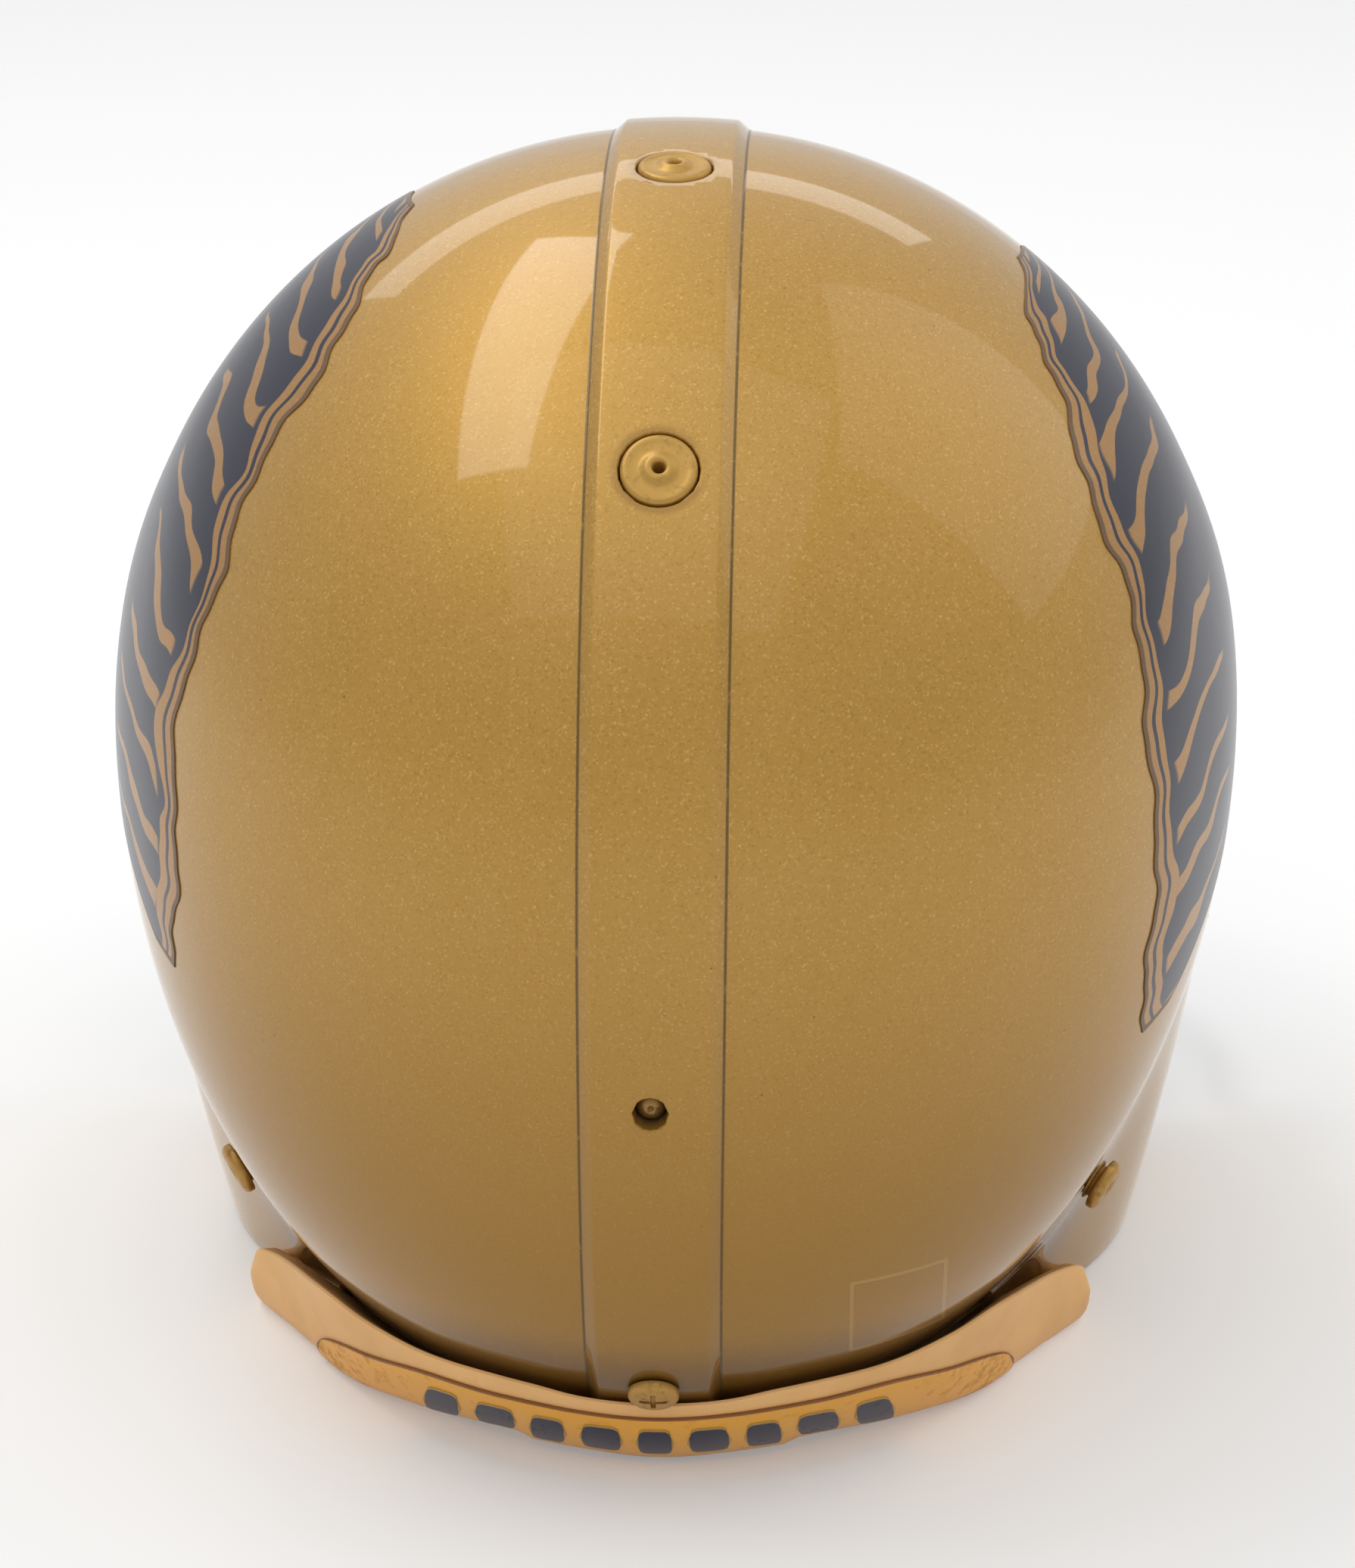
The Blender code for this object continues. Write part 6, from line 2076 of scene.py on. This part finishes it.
@dataclass
class Hardware:
    """Screws, studs and nuts: what they hold, their distances across and their distances up the wall.

    A place beside gives the distance behind the widest point, and the height as a share of that point's.
    """

    strap: float = 0.0022
    gap: float = 0.0003
    rear_rise: float = 0.0350
    bumper_across: float = 0.018
    bumper_rise: float = 0.0115
    brow_across: float = 0.047
    brow_rise: float = 0.0185 + 0.0175
    clip_beside: Pair = (-0.076, -0.543)
    lower_stud_beside: Pair = (0.032, -0.716)
    upper_stud: Pair = (-0.040, 0.012)

    def brow(self, across: float, rise: float, along: Sequence[float] = (1, 0, 0)) -> Matrix:
        """A place on the brow at a distance across and a distance up from the rim."""
        rim = float(SKIN.rim_angle(across, True)[0])
        foot = SKIN.over(rim, across)
        return SKIN.seat_over(rim - math.degrees(rise / math.hypot(foot[1], foot[2])), across, 0, along)

    def build(self) -> None:
        """Builds the screws and studs and dresses the nuts."""
        rim = float(SKIN.rim_angle(0.0, False)[0])
        angle = rim + math.degrees(self.rear_rise / float(np.linalg.norm(SKIN.over(rim, 0.0))))
        seat = SKIN.seat_over(angle, 0, SKIN.ridge_lift)
        deep = NUT.stack(seat, 2 * RearBumper.clearance + RearBumper.inner_wall)
        PanScrew("rear_bumper_screw", seat, self.gap, deep, "hardware", "gold_screw").build()
        tall = SKIN.widest_height
        for side, word in ((1, "left"), (-1, "right")):
            seat = self.brow(side * self.bumper_across, self.bumper_rise)
            lift = self.gap + BrowBumper.thickness + self.gap
            PanScrew(f"front_bumper_screw_{word}", seat, lift, NUT.stack(seat), "hardware", "gold_screw").build()
            lift = self.gap + self.strap + self.gap + self.strap + self.gap
            back, share = self.clip_beside
            seat = SKIN.seat_beside(back, share * tall, side, (0, -1, 0))
            PanScrew(f"side_clip_screw_{word}", seat, lift, NUT.stack(seat), "steel", "steel_screw").build()
            seat = self.brow(side * self.brow_across, self.brow_rise, (0, 0, -1))
            PanScrew(f"brow_clip_screw_{word}", seat, lift, NUT.stack(seat), "steel", "steel_screw").build()
            StrapStud(f"strap_stud_upper_{word}", SKIN.seat_beside(*self.upper_stud, side)).build()
            back, share = self.lower_stud_beside
            StrapStud(f"strap_stud_lower_{word}", SKIN.seat_beside(back, share * tall, side)).build()
        for name, node in NODES.items():
            if "_nut" in name:
                node.data.materials.clear()
                node.data.materials.append(Finishes.of("steel"))


# ---- studio


@dataclass
class SoftBox:
    """One soft lamp that looks at the helmet."""

    name: str
    place: tuple[float, float, float]
    size: Pair
    power: float
    aim: tuple[float, float, float] = (0.0, 0.02, 0.12)

    def build(self) -> None:
        """Adds the lamp."""
        Bench.clear()
        bpy.ops.object.light_add(type="AREA", location=self.place)
        lamp = bpy.context.object
        lamp.name = self.name
        lamp.data.shape = "RECTANGLE"
        lamp.data.size, lamp.data.size_y = self.size
        lamp.data.energy = self.power
        look = Vector(self.aim) - Vector(self.place)
        lamp.rotation_euler = look.to_track_quat("-Z", "Y").to_euler()


@dataclass
class Studio:
    """Camera, floor, lamps and surroundings."""

    elevation: float = 20.0
    yaw: float = 1.95
    roll: float = 0.3
    distance: float = 1.0
    focal_pixels: float = 6390.0
    frame_pixels: float = 2072.0
    drop: float = 0.013
    surround: float = 0.61

    def camera(self) -> None:
        """Sets the camera at the photograph's angle."""
        e, yaw, roll = (math.radians(a) for a in (self.elevation, self.yaw, self.roll))
        back = Vector((-math.sin(yaw) * math.cos(e), math.cos(yaw) * math.cos(e), math.sin(e)))
        right = Vector((-math.cos(yaw), -math.sin(yaw), 0))
        up = back.cross(right)
        x = right * math.cos(roll) + up * math.sin(roll)
        y = up * math.cos(roll) - right * math.sin(roll)
        Bench.clear()
        bpy.ops.object.camera_add()
        camera = bpy.context.object
        camera.name = "photo_camera"
        turned = Matrix((x, y, back)).transposed().to_4x4()
        camera.matrix_world = Matrix.Translation(Vector(ORIGIN) + back * self.distance - y * self.drop) @ turned
        camera.data.sensor_fit = "VERTICAL"
        camera.data.sensor_height = 36
        camera.data.lens = 36 * self.focal_pixels / self.frame_pixels
        camera.data.clip_start = 0.01
        bpy.context.scene.camera = camera

    def floor(self) -> None:
        """Adds the white sweep."""
        Bench.clear()
        bpy.ops.mesh.primitive_plane_add(size=60, location=(0, 0, 0))
        floor = Bench.named("sweep")
        bpy.ops.object.mode_set(mode="EDIT")
        bpy.ops.mesh.subdivide(number_cuts=3)
        bpy.ops.object.mode_set(mode="OBJECT")
        floor.data.materials.append(Finishes.of("floor"))

    def world(self) -> None:
        """Sets even pale surroundings."""
        world = bpy.data.worlds.new("studio")
        bpy.context.scene.world = world
        world.use_nodes = True
        around = world.node_tree.nodes["Background"]
        around.inputs["Color"].default_value = (1, 1, 1, 1)
        around.inputs["Strength"].default_value = self.surround

    def build(self) -> None:
        """Builds the studio."""
        bpy.context.scene.view_settings.view_transform = "Standard"
        self.camera()
        self.floor()
        self.world()
        SoftBox("key_box", (0.62, -0.24, 1.50), (1.40, 0.40), 7.0).build()
        SoftBox("front_strip", (0.2, -1.45, 1.20), (2.0, 0.28), 2.8).build()
        SoftBox("right_panel", (-1.1, -0.3, 1.1), (1.1, 1.3), 3.0).build()
        SoftBox("top_sky", (0.1, 1.0, 2.3), (2.6, 2.6), 12.0).build()


def main() -> None:
    """Builds the helmet piece by piece."""
    logging.basicConfig(level=logging.INFO, format="%(message)s")
    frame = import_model()
    NODES.update(frame["nodes"])
    Studio().build()
    Shell().build()
    for name, angle in VALVE_ANGLES.items():
        AirValve(name, angle).build()
    BackRivet().build()
    RearBumper().build()
    BrowBumper().build()
    for side in (1, -1):
        SideFilm(side).build()
    FaceGuard().build()
    for word in ("side", "brow"):
        for hand in ("left", "right"):
            GuardClip(f"{word}_clip_{hand}").build()
    Hardware().build()
    Liner().build()


if __name__ == "__main__":
    main()
